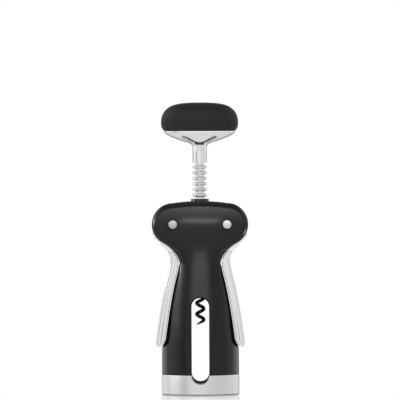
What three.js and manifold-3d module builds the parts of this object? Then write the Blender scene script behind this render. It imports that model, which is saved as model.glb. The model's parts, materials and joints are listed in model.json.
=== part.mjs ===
// Winged corkscrew: a rack spindle between two geared levers, a split black body with a
// sight window, and a foil cutter that pulls off the base.
// Millimetres, +Z up, the front faces -Y, and the origin is the middle of the base on the table.

import * as THREE from "three";
import { mergeVertices } from "three/addons/utils/BufferGeometryUtils.js";
import Module from "manifold-3d";

const wasm = await Module();
wasm.setup();

// Gaps, and how far a cutter runs past what it cuts
const CLEAR = 0.3;
const OVERRUN = 3;

// Foil cutter that forms the base, round the bore for the bottle neck
const NECK_BORE_RADIUS = 16;
const RING_HEIGHT = 14.6;
const RING_WALL = 2.5;
const RING_EDGE = 1;
const CARRIER_WALL = 0.9;
const SPIGOT_HEIGHT = 5.5;
const SPIGOT_WALL = 2.3;
const CUTTER_COUNT = 4;
const CUTTER_RADIUS = 4.5;
const CUTTER_THICKNESS = 0.8;
const CUTTER_BEVEL = 0.9;
const CUTTER_BITE = 0.9;
const CUTTER_HEIGHT = 5.6;
const CUTTER_AXLE_RADIUS = 0.8;
const CUTTER_AXLE_LENGTH = 8.6;
const CUTTER_ORBIT = NECK_BORE_RADIUS - CUTTER_BITE + CUTTER_RADIUS;
const CARRIER_RADIUS = CUTTER_ORBIT + CUTTER_RADIUS + CLEAR + CARRIER_WALL;
const RING_RADIUS = CARRIER_RADIUS + CLEAR + RING_WALL;

// Depth of the inner frame, the covers and the head
const FRAME_HALF_DEPTH = 9;
const HEAD_WALL = 5.1;
const COVER_INNER = FRAME_HALF_DEPTH + CLEAR;
const HEAD_HALF_DEPTH = COVER_INNER + HEAD_WALL;

// Rack, and the gears that mesh with it
const RACK_RADIUS = 5.3;
const RACK_RING_DEPTH = 1.74;
const RACK_PITCH_DEPTH = 0.452;
const RACK_RING_COUNT = 12;
const HUB_HALF_WIDTH = 3.9;
const HUB_RADIUS = 13.9;
const MESH_GAP = 0.4;
const TOOTH_HEIGHT = 1.2;
const TOOTH_PHASE = THREE.MathUtils.degToRad(-4.1);
const TEETH_PER_TURN = 23;
const TEETH_CUT = 11;
const TOOTH_STEP = 2 * Math.PI / TEETH_PER_TURN;
const TOOTH_TIP_RADIUS = HUB_RADIUS + TOOTH_HEIGHT;
const RACK_ROOT_RADIUS = RACK_RADIUS - RACK_RING_DEPTH;
const RACK_PLAIN_RADIUS = RACK_RADIUS - CLEAR;
const PIVOT_X = RACK_RADIUS + MESH_GAP + HUB_RADIUS;
const RACK_PITCH = TOOTH_STEP * (PIVOT_X - RACK_RADIUS + RACK_PITCH_DEPTH);

// Heights of the body: the lower ones build up from the base, the upper ones hang on the pivots
const PIVOT_HEIGHT = 123;
const LOBE_EDGE = 0.1;
const ARCH_RISE = 1.5;
const WAIST_DROP = 29;
const NECK_RISE = 10;
const BAY_RISE = 18.8;
const BAY_CORNER = 6.4;
const LIP_SEAT_HEIGHT = 46;
const CHAMBER_DROP = 6;
const NOTCH_DEPTH = 6.1;
const WINDOW_DROP = 17.9;
const LOBE_RADIUS = TOOTH_TIP_RADIUS + LOBE_EDGE;
const LOBE_TOP = PIVOT_HEIGHT + LOBE_RADIUS;
const HEAD_TOP = LOBE_TOP + ARCH_RISE;
const FRAME_TOP = LOBE_TOP - CLEAR;
const LIP_FOOT = FRAME_TOP + CLEAR;
const WAIST_HEIGHT = PIVOT_HEIGHT - WAIST_DROP;
const NECK_TOP = WAIST_HEIGHT + NECK_RISE;
const CHAMBER_TOP = WAIST_HEIGHT - CHAMBER_DROP;
const WINDOW_TOP = CHAMBER_TOP - WINDOW_DROP;
const WINDOW_BOTTOM = RING_HEIGHT - NOTCH_DEPTH;
const BODY_FOOT = RING_HEIGHT + CLEAR;
const BAY_FOOT = BODY_FOOT + BAY_RISE;
const BAY_CORNER_TOP = BAY_FOOT + BAY_CORNER;

// Widths of the body
const SKIRT_STEP = 0.2;
const BAY_STEP = 2;
const BAY_HOOK = 2.2;
const RIM_STEP = 2.65;
const WAIST_HALF_WIDTH = 15.2;
const WAIST_ROUND = 3;
const CHAMBER_WALL = 2.7;
const WINDOW_HALF_WIDTH = 6.35;
const SKIRT_RADIUS = RING_RADIUS - SKIRT_STEP;
const BAY_HALF_WIDTH = SKIRT_RADIUS - BAY_STEP;
const WAIST_FULL_HALF_WIDTH = WAIST_HALF_WIDTH + WAIST_ROUND;
const CHAMBER_RADIUS = WAIST_HALF_WIDTH - CHAMBER_WALL;

// Front face of the head
const FACE_LEAN = 3.4;
const FACE_LEAN_HEIGHT = 22.7;
const BEVEL_WIDTH = 3.3;
const BEVEL_SLOPE_DEPTH = 0.8;
const BEVEL_BOW_DEPTH = 3.5;
const COVER_EDGE = 0.7;

// Inner frame
const FRAME_INSET = 0.5;
const FRAME_FOOT_GAP = 0.7;
const BRIDGE_HALF_WIDTH = 11.4;
const LIP_HALF_WIDTH = BRIDGE_HALF_WIDTH;

// Pins and washers of the pivots
const PIN_RADIUS = 2.3;
const PIN_HEAD_LEDGE = 0.87;
const PIN_HEAD_HEIGHT = 1.4;
const PIN_DOME = 0.7;
const PIN_RECESS_GAP = 0.73;
const WASHER_WIDTH = 3.7;
const WASHER_THICKNESS = 0.6;
const PIN_BORE_RADIUS = PIN_RADIUS + CLEAR;
const PIN_HEAD_RADIUS = PIN_RADIUS + PIN_HEAD_LEDGE;
const PIN_RECESS_RADIUS = PIN_HEAD_RADIUS + PIN_RECESS_GAP;
const WASHER_RADIUS = PIN_RADIUS + WASHER_WIDTH;
const SLOT_HALF_WIDTH = HUB_HALF_WIDTH + WASHER_THICKNESS + 2 * CLEAR;
const GEAR_SLOT_RADIUS = TOOTH_TIP_RADIUS + CLEAR;

// Arms and blades of the levers
const SHOULDER_FOOT_STEP = 1.2;
const SHOULDER_END_STEP = 1.6;
const SHOULDER_RUN = 2.1;
const SHOULDER_FOOT_ANGLE = THREE.MathUtils.degToRad(36);
const SHOULDER_END_ANGLE = THREE.MathUtils.degToRad(71);
const ARM_STEP = 0.1;
const ARM_THICKNESS = 6.3;
const ARM_NECK_THICKNESS = 3.9;
const ARM_RISE = 9.5;
const ARM_TIP_GAP = 0.8;
const ARM_TIP_ROUND = 4;
const ARM_EDGE = 0.35;
const ARM_BEVEL_DEPTH = 1.9;
const ARM_BEVEL_START = THREE.MathUtils.degToRad(14);
const ARM_GAP = 0.45;
const BLADE_RISE = 2;
const BLADE_INNER_ANGLE = THREE.MathUtils.degToRad(40);
const BLADE_GAP = 0.6;
const SHOULDER_FOOT_RADIUS = LOBE_RADIUS + SHOULDER_FOOT_STEP;
const ARM_HALF_WIDTH = COVER_INNER - ARM_STEP;
const ARM_TOP = WAIST_HEIGHT + ARM_RISE;
const ARM_TIP = BAY_FOOT + ARM_TIP_GAP;
const BLADE_FOOT = WAIST_HEIGHT + BLADE_RISE;

// Worm, and the foot of the rack that it is pinned in
const RACK_FOOT_RISE = 4.5;
const WORM_TIP_RISE = 4;
const WORM_PITCH = 7.92;
const WORM_COIL_RADIUS = 2.5;
const WORM_WIRE_RADIUS = 1.3;
const WORM_TIP_LENGTH = 4.2;
const WORM_SHANK_RADIUS = 2.2;
const WORM_SHANK_DROP = 2.8;
const WORM_SHANK_RISE = 9.5;
const WORM_PIN_RADIUS = 0.7;
const RACK_FOOT = WAIST_HEIGHT + RACK_FOOT_RISE;
const WORM_TIP_HEIGHT = LIP_SEAT_HEIGHT + WORM_TIP_RISE;
const WORM_TOP = RACK_FOOT + WORM_SHANK_RISE;

// Bushing in the top of the body
const BUSH_WALL = 0.9;
const BUSH_LEDGE = 1.1;
const BUSH_RISE = 1.7;
const BUSH_DEPTH = 4.8;
const BUSH_FLANGE_HEIGHT = 2.5;
const RACK_BORE_RADIUS = RACK_RADIUS + CLEAR;
const BUSH_RADIUS = RACK_BORE_RADIUS + BUSH_WALL;
const BUSH_FLANGE_RADIUS = BUSH_RADIUS + BUSH_LEDGE;
const BUSH_TOP = HEAD_TOP + BUSH_RISE;
const BUSH_FOOT = HEAD_TOP - BUSH_DEPTH;

// Counts
const ROUND_SIDES = 24;
const SMALL_SIDES = 16;
const OVAL_SIDES = 28;
const COVER_COLUMNS = 14;
const WORM_STEPS_PER_TURN = 12;
const WORM_SIDES = 6;
const NUT_SIDES = 6;

// Shares chosen by eye: how far up, and how much of the difference in size is left there
const FLANK_SHARES = [[0, 1], [0.22, 0.84], [0.46, 0.635], [0.69, 0.395], [0.81, 0.24], [0.93, 0.075],
  [1, 0]];
const DEPTH_SHARES = [[0, 1], [0.2, 0.96], [0.35, 0.84], [0.51, 0.65], [0.68, 0.42], [0.82, 0.21],
  [0.91, 0.08], [1, 0]];
const WIDTH_SHARES = [[0, 1], [0.2, 0.99], [0.35, 0.87], [0.51, 0.66], [0.68, 0.38], [0.82, 0.12],
  [0.91, 0.02], [1, 0]];
const ARM_THINNING_SHARES = [[0, 1], [0.2, 0.97], [0.37, 0.87], [0.56, 0.6], [0.72, 0.4], [1, 0]];
const RIM_SHARES = [[0, 1], [0.22, 1], [0.46, 0.7], [0.63, 0.66], [0.81, 0.6], [1, 0.16]];
const FLARE_SHARES = [[0, 0, 0], [0.06, 0.02, 0.02], [0.16, 0.06, 0.13], [0.24, 0.13, 0.245],
  [0.34, 0.3, 0.36], [0.46, 0.47, 0.48], [0.62, 0.68, 0.64], [0.8, 0.86, 0.81], [1, 1, 1]];
const GRIP_SHARES = [[0, 0.915], [0.07, 0.957], [0.17, 0.991], [0.29, 1], [0.41, 0.9955], [0.55, 0.969],
  [0.69, 0.914], [0.78, 0.851], [0.86, 0.767], [0.92, 0.66], [0.96, 0.53], [0.985, 0.38], [1, 0.18]];
const TOOTH_ROOT_SHARE = 0.31;
const TOOTH_TIP_SHARE = 0.1365;
const RACK_BASE_SHARE = 0.65;
const RACK_LAND_SHARE = 0.3375;
const RACK_FIRST_SHARE = 0.7643;
const FILLET_TOP_SHARE = 0.888;
const ARM_HEEL_SHARE = 0.3;
const ARM_BEVEL_SHARE = 0.43;
const WORM_POINT_SHARE = 0.12;
const WORM_ROOT_SHARE = 0.4;
const WORM_PIN_SHARE = 0.684;
const PIN_CROWN_SHARE = 0.6;
const KNOB_DEPTH_SHARE = 0.49;
const ROUND_EXPONENT = 2;
const WAIST_EXPONENT = 2.4;
const FILLET_POWER = 2.15;
const HOOK_POWER = 1.5;
const SHOULDER_POWER = 7;

// Sizes that follow from shares of the ones above
const FILLET_TOP = PIVOT_HEIGHT - FILLET_TOP_SHARE * LOBE_RADIUS;
const TOOTH_ROOT_HALF_WIDTH = TOOTH_ROOT_SHARE * RACK_PITCH;
const TOOTH_TIP_HALF_WIDTH = TOOTH_TIP_SHARE * RACK_PITCH;
const RACK_RING_BASE = RACK_BASE_SHARE * RACK_PITCH;
const RACK_LAND = RACK_LAND_SHARE * RACK_PITCH;
const RACK_FIRST_RING = PIVOT_HEIGHT - RACK_FIRST_SHARE * RACK_PITCH;
const RACK_LAST_RING = RACK_FIRST_RING + (RACK_RING_COUNT - 1) * RACK_PITCH;
const WORM_PIN_HEIGHT = RACK_FOOT + WORM_PIN_SHARE * WORM_SHANK_RISE;

// Knob, built up from the last ring of the rack
const NECK_RADIUS = 5.2;
const NECK_GAP = 3.25;
const NECK_LENGTH = 11.9;
const FLARE_HEIGHT = 10.6;
const FLARE_HALF_WIDTH = 25.6;
const FLARE_LIP = 0.7;
const GRIP_HEIGHT = 20.7;
const GRIP_OVERHANG = 2.35;
const GRIP_WALL = 3;
const GRIP_ROOF = 4.2;
const STUD_STEP = 0.56;
const STUD_GAP = 2.8;
const STUD_END = 1;
const NUT_WIDTH = 2;
const NUT_HEIGHT = 4;
const NECK_FOOT = RACK_LAST_RING + NECK_GAP;
const NECK_HEAD = NECK_FOOT + NECK_LENGTH;
const FLARE_TOP = NECK_HEAD + FLARE_HEIGHT;
const GRIP_FOOT = FLARE_TOP + CLEAR;
const GRIP_TOP = GRIP_FOOT + GRIP_HEIGHT;
const GRIP_HALF_WIDTH = FLARE_HALF_WIDTH + GRIP_OVERHANG;
const STUD_RADIUS = RACK_ROOT_RADIUS - STUD_STEP;
const STUD_TOP = GRIP_TOP - GRIP_ROOF - STUD_GAP;
const NUT_RADIUS = STUD_RADIUS + NUT_WIDTH;
const NUT_SEAT_HEIGHT = STUD_TOP - STUD_END - NUT_HEIGHT;

// Smooth curve through rows of [position, value], without overshoot
function along(rows, position) {
  const last = rows.length - 1;
  if (position <= rows[0][0]) return rows[0][1];
  if (position >= rows[last][0]) return rows[last][1];
  const slope = (i) => (rows[i + 1][1] - rows[i][1]) / (rows[i + 1][0] - rows[i][0]);
  const tangent = (i) => {
    if (i === 0) return slope(0);
    if (i === last) return slope(last - 1);
    const before = slope(i - 1);
    const after = slope(i);
    return before * after <= 0 ? 0 : 2 * before * after / (before + after);
  };
  const i = rows.findIndex((row, n) => n < last && position < rows[n + 1][0]);
  const span = rows[i + 1][0] - rows[i][0];
  const t = (position - rows[i][0]) / span;
  const rise = rows[i + 1][1] - rows[i][1];
  const a = tangent(i) * span - rise;
  const b = rise - tangent(i + 1) * span;
  return rows[i][1] + rise * t + t * (1 - t) * ((1 - t) * a + t * b);
}

function mix(a, b, share) {
  return a + (b - a) * share;
}

function smoothStep(low, high, value) {
  const t = Math.min(Math.max((value - low) / (high - low), 0), 1);
  return t * t * (3 - 2 * t);
}

function spaced(from, to, count) {
  return Array.from({ length: count }, (_, i) => mix(from, to, i / count));
}

// Solids

function signedVolume(positions, index) {
  const corner = (n) => new THREE.Vector3().fromArray(positions, 3 * n);
  let volume = 0;
  for (let i = 0; i < index.length; i += 3) {
    const normal = corner(index[i + 1]).cross(corner(index[i + 2]));
    volume += corner(index[i]).dot(normal);
  }
  return volume;
}

// A closed geometry as a solid, facing out whichever way it was wound
function solid(geometry) {
  const bare = new THREE.BufferGeometry();
  bare.setAttribute("position", geometry.getAttribute("position"));
  bare.setIndex(geometry.getIndex());
  const merged = mergeVertices(bare);
  const positions = merged.getAttribute("position").array;
  const source = merged.getIndex().array;
  const index = [];
  for (let i = 0; i < source.length; i += 3) {
    const [a, b, c] = [source[i], source[i + 1], source[i + 2]];
    if (a !== b && b !== c && c !== a) index.push(a, b, c);
  }
  if (signedVolume(positions, index) < 0) index.reverse();
  return new wasm.Manifold(new wasm.Mesh({
    numProp: 3,
    vertProperties: Float32Array.from(positions),
    triVerts: Uint32Array.from(index),
  }));
}

function geometryOf(body) {
  const mesh = body.getMesh();
  const geometry = new THREE.BufferGeometry();
  geometry.setAttribute("position", new THREE.BufferAttribute(mesh.vertProperties, 3));
  geometry.setIndex(new THREE.BufferAttribute(mesh.triVerts, 1));
  geometry.computeVertexNormals();
  return geometry;
}

function joined(...solids) {
  return solids.reduce((whole, piece) => whole.add(piece));
}

function cut(body, ...tools) {
  return tools.reduce((rest, tool) => rest.subtract(tool), body);
}

function mirrored(geometry, x, y) {
  return solid(geometry.clone().scale(x, y, 1));
}

function box(x0, x1, y0, y1, z0, z1) {
  const geometry = new THREE.BoxGeometry(x1 - x0, y1 - y0, z1 - z0);
  geometry.translate((x0 + x1) / 2, (y0 + y1) / 2, (z0 + z1) / 2);
  return solid(geometry);
}

// A turned solid about the upright axis: [radius, height] points, closed on the axis or on itself
function turned(points, sides = ROUND_SIDES, closedRing = false) {
  const profile = points.map(([radius, height]) => new THREE.Vector2(radius, height));
  if (closedRing) profile.push(profile[0].clone());
  const geometry = new THREE.LatheGeometry(profile, sides);
  geometry.rotateX(Math.PI / 2);
  return geometry;
}

function tube(points, sides = ROUND_SIDES) {
  return solid(turned(points, sides, true));
}

function rod(radius, foot, top, sides = ROUND_SIDES) {
  return solid(turned([[0, foot], [radius, foot], [radius, top], [0, top]], sides));
}

// A turned solid about the pivot's front-to-back axis, from y0 to y1
function crossRod(radius, y0, y1, x, z, sides = ROUND_SIDES) {
  const geometry = turned([[0, y0], [radius, y0], [radius, y1], [0, y1]], sides);
  geometry.rotateX(-Math.PI / 2);
  geometry.translate(x, 0, z);
  return solid(geometry);
}

// A plate from an outline of [x, z] points, from y0 to y1
function plate(points, y0, y1) {
  const shape = new THREE.Shape(points.map(([x, z]) => new THREE.Vector2(x, z)));
  const geometry = new THREE.ExtrudeGeometry(shape, { depth: y1 - y0, bevelEnabled: false });
  geometry.rotateX(Math.PI / 2);
  geometry.translate(0, y1, 0);
  return solid(geometry);
}

// Rings of points joined one above the other, with flat ends; every ring has as many points
function loft(rings) {
  const sides = rings[0].length;
  const positions = rings.flat().flatMap((point) => [point.x, point.y, point.z]);
  const index = [];
  const at = (ring, side) => ring * sides + side % sides;
  for (let ring = 0; ring + 1 < rings.length; ring += 1) {
    for (let side = 0; side < sides; side += 1) {
      index.push(at(ring, side), at(ring, side + 1), at(ring + 1, side + 1));
      index.push(at(ring, side), at(ring + 1, side + 1), at(ring + 1, side));
    }
  }
  const end = rings.length - 1;
  for (let side = 1; side + 1 < sides; side += 1) {
    index.push(at(0, 0), at(0, side + 1), at(0, side));
    index.push(at(end, 0), at(end, side), at(end, side + 1));
  }
  const geometry = new THREE.BufferGeometry();
  geometry.setAttribute("position", new THREE.Float32BufferAttribute(positions, 3));
  geometry.setIndex(index);
  return solid(geometry);
}

function ellipse(halfWidth, halfDepth, z) {
  return Array.from({ length: OVAL_SIDES }, (_, i) => {
    const turn = 2 * Math.PI * i / OVAL_SIDES;
    return new THREE.Vector3(halfWidth * Math.cos(turn), halfDepth * Math.sin(turn), z);
  });
}

// Outline of the body, as a half-width at each height

function lobeAt(z) {
  return PIVOT_X + Math.sqrt(Math.max(LOBE_RADIUS ** 2 - (z - PIVOT_HEIGHT) ** 2, 0));
}

function hookAt(z) {
  const rise = Math.min(Math.max((BAY_CORNER_TOP - z) / BAY_CORNER, 0), 1);
  return BAY_HOOK * rise ** HOOK_POWER;
}

// The line that the levers lie along, and the lobes and arch of the head above it
function outlineAt(z) {
  if (z < WAIST_HEIGHT) {
    const share = along(FLANK_SHARES, (z - BAY_FOOT) / (WAIST_HEIGHT - BAY_FOOT));
    return mix(WAIST_HALF_WIDTH, BAY_HALF_WIDTH, share) + hookAt(z);
  }
  if (z < FILLET_TOP) {
    const rise = (z - WAIST_HEIGHT) / (FILLET_TOP - WAIST_HEIGHT);
    return mix(WAIST_HALF_WIDTH, lobeAt(FILLET_TOP), rise ** FILLET_POWER);
  }
  if (z < LOBE_TOP) return lobeAt(z);
  return PIVOT_X * Math.sqrt(Math.max((HEAD_TOP - z) / (HEAD_TOP - LOBE_TOP), 0));
}

// Full sections of the round lower body, as if the lever bays were not there
function columnAt(z) {
  const rise = Math.min(Math.max((z - BODY_FOOT) / (NECK_TOP - BODY_FOOT), 0), 1);
  return {
    halfDepth: mix(HEAD_HALF_DEPTH, SKIRT_RADIUS, along(DEPTH_SHARES, rise)),
    halfWidth: mix(WAIST_FULL_HALF_WIDTH, SKIRT_RADIUS, along(WIDTH_SHARES, rise)),
    exponent: mix(ROUND_EXPONENT, WAIST_EXPONENT, rise),
  };
}

// Half-width of the covers: they stop short of the levers by a step that narrows to the waist
function coverHalfWidth(z) {
  if (z <= BAY_FOOT) return columnAt(z).halfWidth;
  const stepAt = (height) => {
    const rise = (height - BAY_FOOT) / (WAIST_HEIGHT - BAY_FOOT);
    const fade = 1 - smoothStep(WAIST_HEIGHT, FILLET_TOP, height);
    return RIM_STEP * along(RIM_SHARES, rise) * fade;
  };
  if (z >= BAY_CORNER_TOP) return outlineAt(z) - stepAt(z);
  const rim = outlineAt(BAY_CORNER_TOP) - stepAt(BAY_CORNER_TOP);
  const drop = (BAY_CORNER_TOP - z) / BAY_CORNER;
  return mix(rim, columnAt(BAY_FOOT).halfWidth, drop ** 2);
}

// Heights of the rows that the covers are built from
function coverHeights() {
  const corner = spaced(Math.PI / 2, 0, 4).map((turn) => BAY_CORNER_TOP - BAY_CORNER * Math.sin(turn));
  const lobeStart = Math.asin((FILLET_TOP - PIVOT_HEIGHT) / LOBE_RADIUS);
  const lobe = spaced(lobeStart, Math.PI / 2, 11)
    .map((turn) => PIVOT_HEIGHT + LOBE_RADIUS * Math.sin(turn));
  const arch = [1, 0.8, 0.6, 0.4, 0.15].map((share) => HEAD_TOP - (HEAD_TOP - LOBE_TOP) * share ** 2);
  return [
    ...spaced(BODY_FOOT, BAY_FOOT, 3),
    ...corner,
    ...spaced(BAY_CORNER_TOP, WAIST_HEIGHT, 9),
    ...spaced(WAIST_HEIGHT, FILLET_TOP, 7),
    ...lobe,
    ...arch,
  ];
}

const headOutline = coverHeights()
  .filter((z) => z >= WAIST_HEIGHT)
  .map((z) => new THREE.Vector2(coverHalfWidth(z), z));

function distanceToHeadOutline(x, z) {
  const point = new THREE.Vector2(Math.abs(x), z);
  let nearest = Infinity;
  for (let i = 0; i + 1 < headOutline.length; i += 1) {
    const start = headOutline[i];
    const side = headOutline[i + 1].clone().sub(start);
    const reach = point.clone().sub(start).dot(side) / side.lengthSq();
    const foot = start.clone().addScaledVector(side, Math.min(Math.max(reach, 0), 1));
    nearest = Math.min(nearest, foot.distanceTo(point));
  }
  return nearest;
}

// Half-depth of the covers at a point of the front: a round column that becomes a flat, bevelled head
function coverHalfDepth(x, z) {
  const { halfDepth, halfWidth, exponent } = columnAt(z);
  const across = Math.min(Math.abs(x) / Math.max(halfWidth, coverHalfWidth(z)), 1);
  const round = halfDepth * (1 - across ** exponent) ** (1 / exponent);
  if (z <= BAY_FOOT) return round;
  const lean = Math.max((z - HEAD_TOP + FACE_LEAN_HEIGHT) / FACE_LEAN_HEIGHT, 0);
  const bevel = Math.max(1 - distanceToHeadOutline(x, z) / BEVEL_WIDTH, 0);
  const drop = BEVEL_SLOPE_DEPTH * bevel + BEVEL_BOW_DEPTH * (1 - Math.sqrt(1 - bevel ** 2));
  const flat = HEAD_HALF_DEPTH - FACE_LEAN * lean ** 2 - drop;
  const blended = mix(round, flat, smoothStep(WAIST_HEIGHT, FILLET_TOP, z));
  return z < WAIST_HEIGHT ? blended : Math.max(blended, COVER_INNER + COVER_EDGE);
}

// Front half of the body's full shape, flat on its back at y = 0
function coverBlank() {
  const heights = coverHeights();
  const columns = COVER_COLUMNS + 1;
  const positions = [];
  for (const z of heights) {
    const halfWidth = coverHalfWidth(z);
    for (let column = 0; column < columns; column += 1) {
      const x = halfWidth * Math.sin(Math.PI * (column / COVER_COLUMNS - 0.5));
      const edge = column === 0 || column === COVER_COLUMNS;
      const depth = edge && z <= BAY_FOOT ? 0 : coverHalfDepth(x, z);
      positions.push(x, -depth, z);
    }
    positions.push(-halfWidth, 0, z, halfWidth, 0, z);
  }
  const stride = columns + 2;
  const index = [];
  const face = (a, b, c, d) => index.push(a, b, c, a, c, d);
  for (let row = 0; row + 1 < heights.length; row += 1) {
    const low = row * stride;
    const high = low + stride;
    for (let column = 0; column < COVER_COLUMNS; column += 1) {
      face(low + column, low + column + 1, high + column + 1, high + column);
    }
    face(low + columns, low, high, high + columns);
    face(low + COVER_COLUMNS, low + columns + 1, high + columns + 1, high + COVER_COLUMNS);
    face(low + columns + 1, low + columns, high + columns, high + columns + 1);
  }
  const lastRow = (heights.length - 1) * stride;
  for (let column = 0; column < COVER_COLUMNS; column += 1) {
    index.push(columns, column + 1, column);
    index.push(lastRow + columns, lastRow + column, lastRow + column + 1);
  }
  index.push(columns, columns + 1, COVER_COLUMNS);
  index.push(lastRow + columns, lastRow + COVER_COLUMNS, lastRow + columns + 1);
  const geometry = new THREE.BufferGeometry();
  geometry.setAttribute("position", new THREE.Float32BufferAttribute(positions, 3));
  geometry.setIndex(index);
  return solid(geometry);
}

// Cutters shared by the pieces that they line up

function bottleBore() {
  return solid(turned([
    [0, -OVERRUN], [NECK_BORE_RADIUS, -OVERRUN], [NECK_BORE_RADIUS, LIP_SEAT_HEIGHT],
    [CHAMBER_RADIUS, LIP_SEAT_HEIGHT], [CHAMBER_RADIUS, CHAMBER_TOP], [0, CHAMBER_TOP],
  ]));
}

function sightWindow() {
  const turns = Array.from({ length: SMALL_SIDES + 1 }, (_, i) => Math.PI * i / SMALL_SIDES);
  const arch = turns.map((turn) => [
    WINDOW_HALF_WIDTH * Math.cos(turn),
    WINDOW_TOP - WINDOW_HALF_WIDTH + WINDOW_HALF_WIDTH * Math.sin(turn),
  ]);
  const foot = turns.map((turn) => [
    -WINDOW_HALF_WIDTH * Math.cos(turn),
    WINDOW_BOTTOM + WINDOW_HALF_WIDTH - WINDOW_HALF_WIDTH * Math.sin(turn),
  ]);
  const reach = RING_RADIUS + OVERRUN;
  return plate([...arch, ...foot], -reach, reach);
}

function pinHoles() {
  const reach = HEAD_HALF_DEPTH + OVERRUN;
  const hole = (x) => crossRod(PIN_BORE_RADIUS, -reach, reach, x, PIVOT_HEIGHT, SMALL_SIDES);
  return [hole(-PIVOT_X), hole(PIVOT_X)];
}

// Body

const pinFace = coverHalfDepth(PIVOT_X, PIVOT_HEIGHT);
const pinSeat = pinFace - PIN_HEAD_HEIGHT;

function frontCover() {
  const reach = PIVOT_X + LOBE_RADIUS + OVERRUN;
  const spigotRadius = NECK_BORE_RADIUS + SPIGOT_WALL + CLEAR;
  const tools = [
    bottleBore(),
    sightWindow(),
    rod(spigotRadius, 0, RING_HEIGHT + SPIGOT_HEIGHT + CLEAR),
    box(-reach, reach, -COVER_INNER, OVERRUN, BAY_FOOT + FRAME_FOOT_GAP, LIP_FOOT),
    rod(BUSH_RADIUS + CLEAR, LIP_FOOT - OVERRUN, HEAD_TOP + OVERRUN),
    ...pinHoles(),
  ];
  for (const side of [-1, 1]) {
    const [inner, outer] = [side * LIP_HALF_WIDTH, side * reach];
    tools.push(box(Math.min(inner, outer), Math.max(inner, outer), -COVER_INNER, OVERRUN,
      LIP_FOOT - OVERRUN, HEAD_TOP + OVERRUN));
    const outside = -HEAD_HALF_DEPTH - OVERRUN;
    tools.push(crossRod(PIN_RECESS_RADIUS, outside, -pinSeat, side * PIVOT_X, PIVOT_HEIGHT, SMALL_SIDES));
  }
  return cut(coverBlank(), ...tools);
}

// Room that one lever's hub, blade and shoulder turn in, between the cheeks of the frame
function leverSlot() {
  const reach = PIVOT_X + LOBE_RADIUS + OVERRUN;
  const hubSide = bladeInnerCorner();
  const foot = [outlineAt(BLADE_FOOT) + ARM_GAP - BLADE_GAP, BLADE_FOOT - BLADE_GAP];
  const opening = plate([
    foot, [reach, foot[1]], [reach, PIVOT_HEIGHT], [PIVOT_X, PIVOT_HEIGHT],
    [hubSide[0] - BLADE_GAP, hubSide[1]],
  ], -SLOT_HALF_WIDTH, SLOT_HALF_WIDTH);
  return joined(
    crossRod(GEAR_SLOT_RADIUS, -SLOT_HALF_WIDTH, SLOT_HALF_WIDTH, PIVOT_X, PIVOT_HEIGHT, 2 * ROUND_SIDES),
    opening,
    box(BRIDGE_HALF_WIDTH, reach, -SLOT_HALF_WIDTH, SLOT_HALF_WIDTH, PIVOT_HEIGHT, HEAD_TOP),
  );
}

function innerFrame() {
  const foot = BAY_FOOT + FRAME_FOOT_GAP + CLEAR;
  const heights = [foot, ...coverHeights().filter((z) => z > foot && z < FRAME_TOP), FRAME_TOP];
  const halfWidth = (z) => outlineAt(z) - FRAME_INSET * smoothStep(WAIST_HEIGHT - ARM_GAP, WAIST_HEIGHT, z);
  const right = heights.map((z) => [halfWidth(z), z]);
  const left = right.map(([x, z]) => [-x, z]).reverse();
  const body = plate([...right, ...left], -FRAME_HALF_DEPTH, FRAME_HALF_DEPTH);
  const slot = leverSlot();
  const bushSeat = BUSH_FOOT - CLEAR;
  return cut(
    body,
    bottleBore(),
    rod(RACK_BORE_RADIUS, CHAMBER_TOP - OVERRUN, HEAD_TOP),
    rod(BUSH_FLANGE_RADIUS + CLEAR, bushSeat, HEAD_TOP),
    slot,
    mirrored(geometryOf(slot), -1, 1),
    ...pinHoles(),
  );
}

function pivotPin() {
  const shank = pinSeat + CLEAR;
  const crown = pinFace + PIN_DOME;
  const upper = [
    [PIN_RADIUS, shank], [PIN_HEAD_RADIUS, shank], [PIN_HEAD_RADIUS, pinFace - PIN_DOME / 2],
    [PIN_HEAD_RADIUS * PIN_CROWN_SHARE, crown - PIN_DOME / 3], [0, crown],
  ];
  const lower = upper.map(([radius, height]) => [radius, -height]).reverse();
  const geometry = turned([...lower, ...upper], SMALL_SIDES);
  geometry.rotateX(-Math.PI / 2);
  return geometry;
}

function washer() {
  const geometry = turned([
    [PIN_BORE_RADIUS, 0], [WASHER_RADIUS, 0],
    [WASHER_RADIUS, WASHER_THICKNESS], [PIN_BORE_RADIUS, WASHER_THICKNESS],
  ], SMALL_SIDES, true);
  geometry.rotateX(-Math.PI / 2);
  return geometryOf(solid(geometry));
}

function topBushing() {
  const flangeTop = BUSH_FOOT + BUSH_FLANGE_HEIGHT;
  return tube([
    [RACK_BORE_RADIUS, BUSH_FOOT], [BUSH_FLANGE_RADIUS, BUSH_FOOT], [BUSH_FLANGE_RADIUS, flangeTop],
    [BUSH_RADIUS, flangeTop], [BUSH_RADIUS, BUSH_TOP], [RACK_BORE_RADIUS, BUSH_TOP],
  ]);
}

// Levers, drawn for the right-hand side

// The corner where the inner edge of the blade leaves the hub
function bladeInnerCorner() {
  return [
    PIVOT_X - HUB_RADIUS * Math.sin(BLADE_INNER_ANGLE),
    PIVOT_HEIGHT - HUB_RADIUS * Math.cos(BLADE_INNER_ANGLE),
  ];
}

function armThickness(z) {
  const start = WAIST_HEIGHT - ARM_THICKNESS / 2;
  const share = along(ARM_THINNING_SHARES, (z - start) / (ARM_TOP - start));
  return mix(ARM_NECK_THICKNESS, ARM_THICKNESS, share);
}

function armInner(z) {
  return outlineAt(z) + ARM_GAP;
}

function armOuter(z) {
  return outlineAt(z) - hookAt(z) + ARM_GAP + armThickness(z);
}

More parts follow.
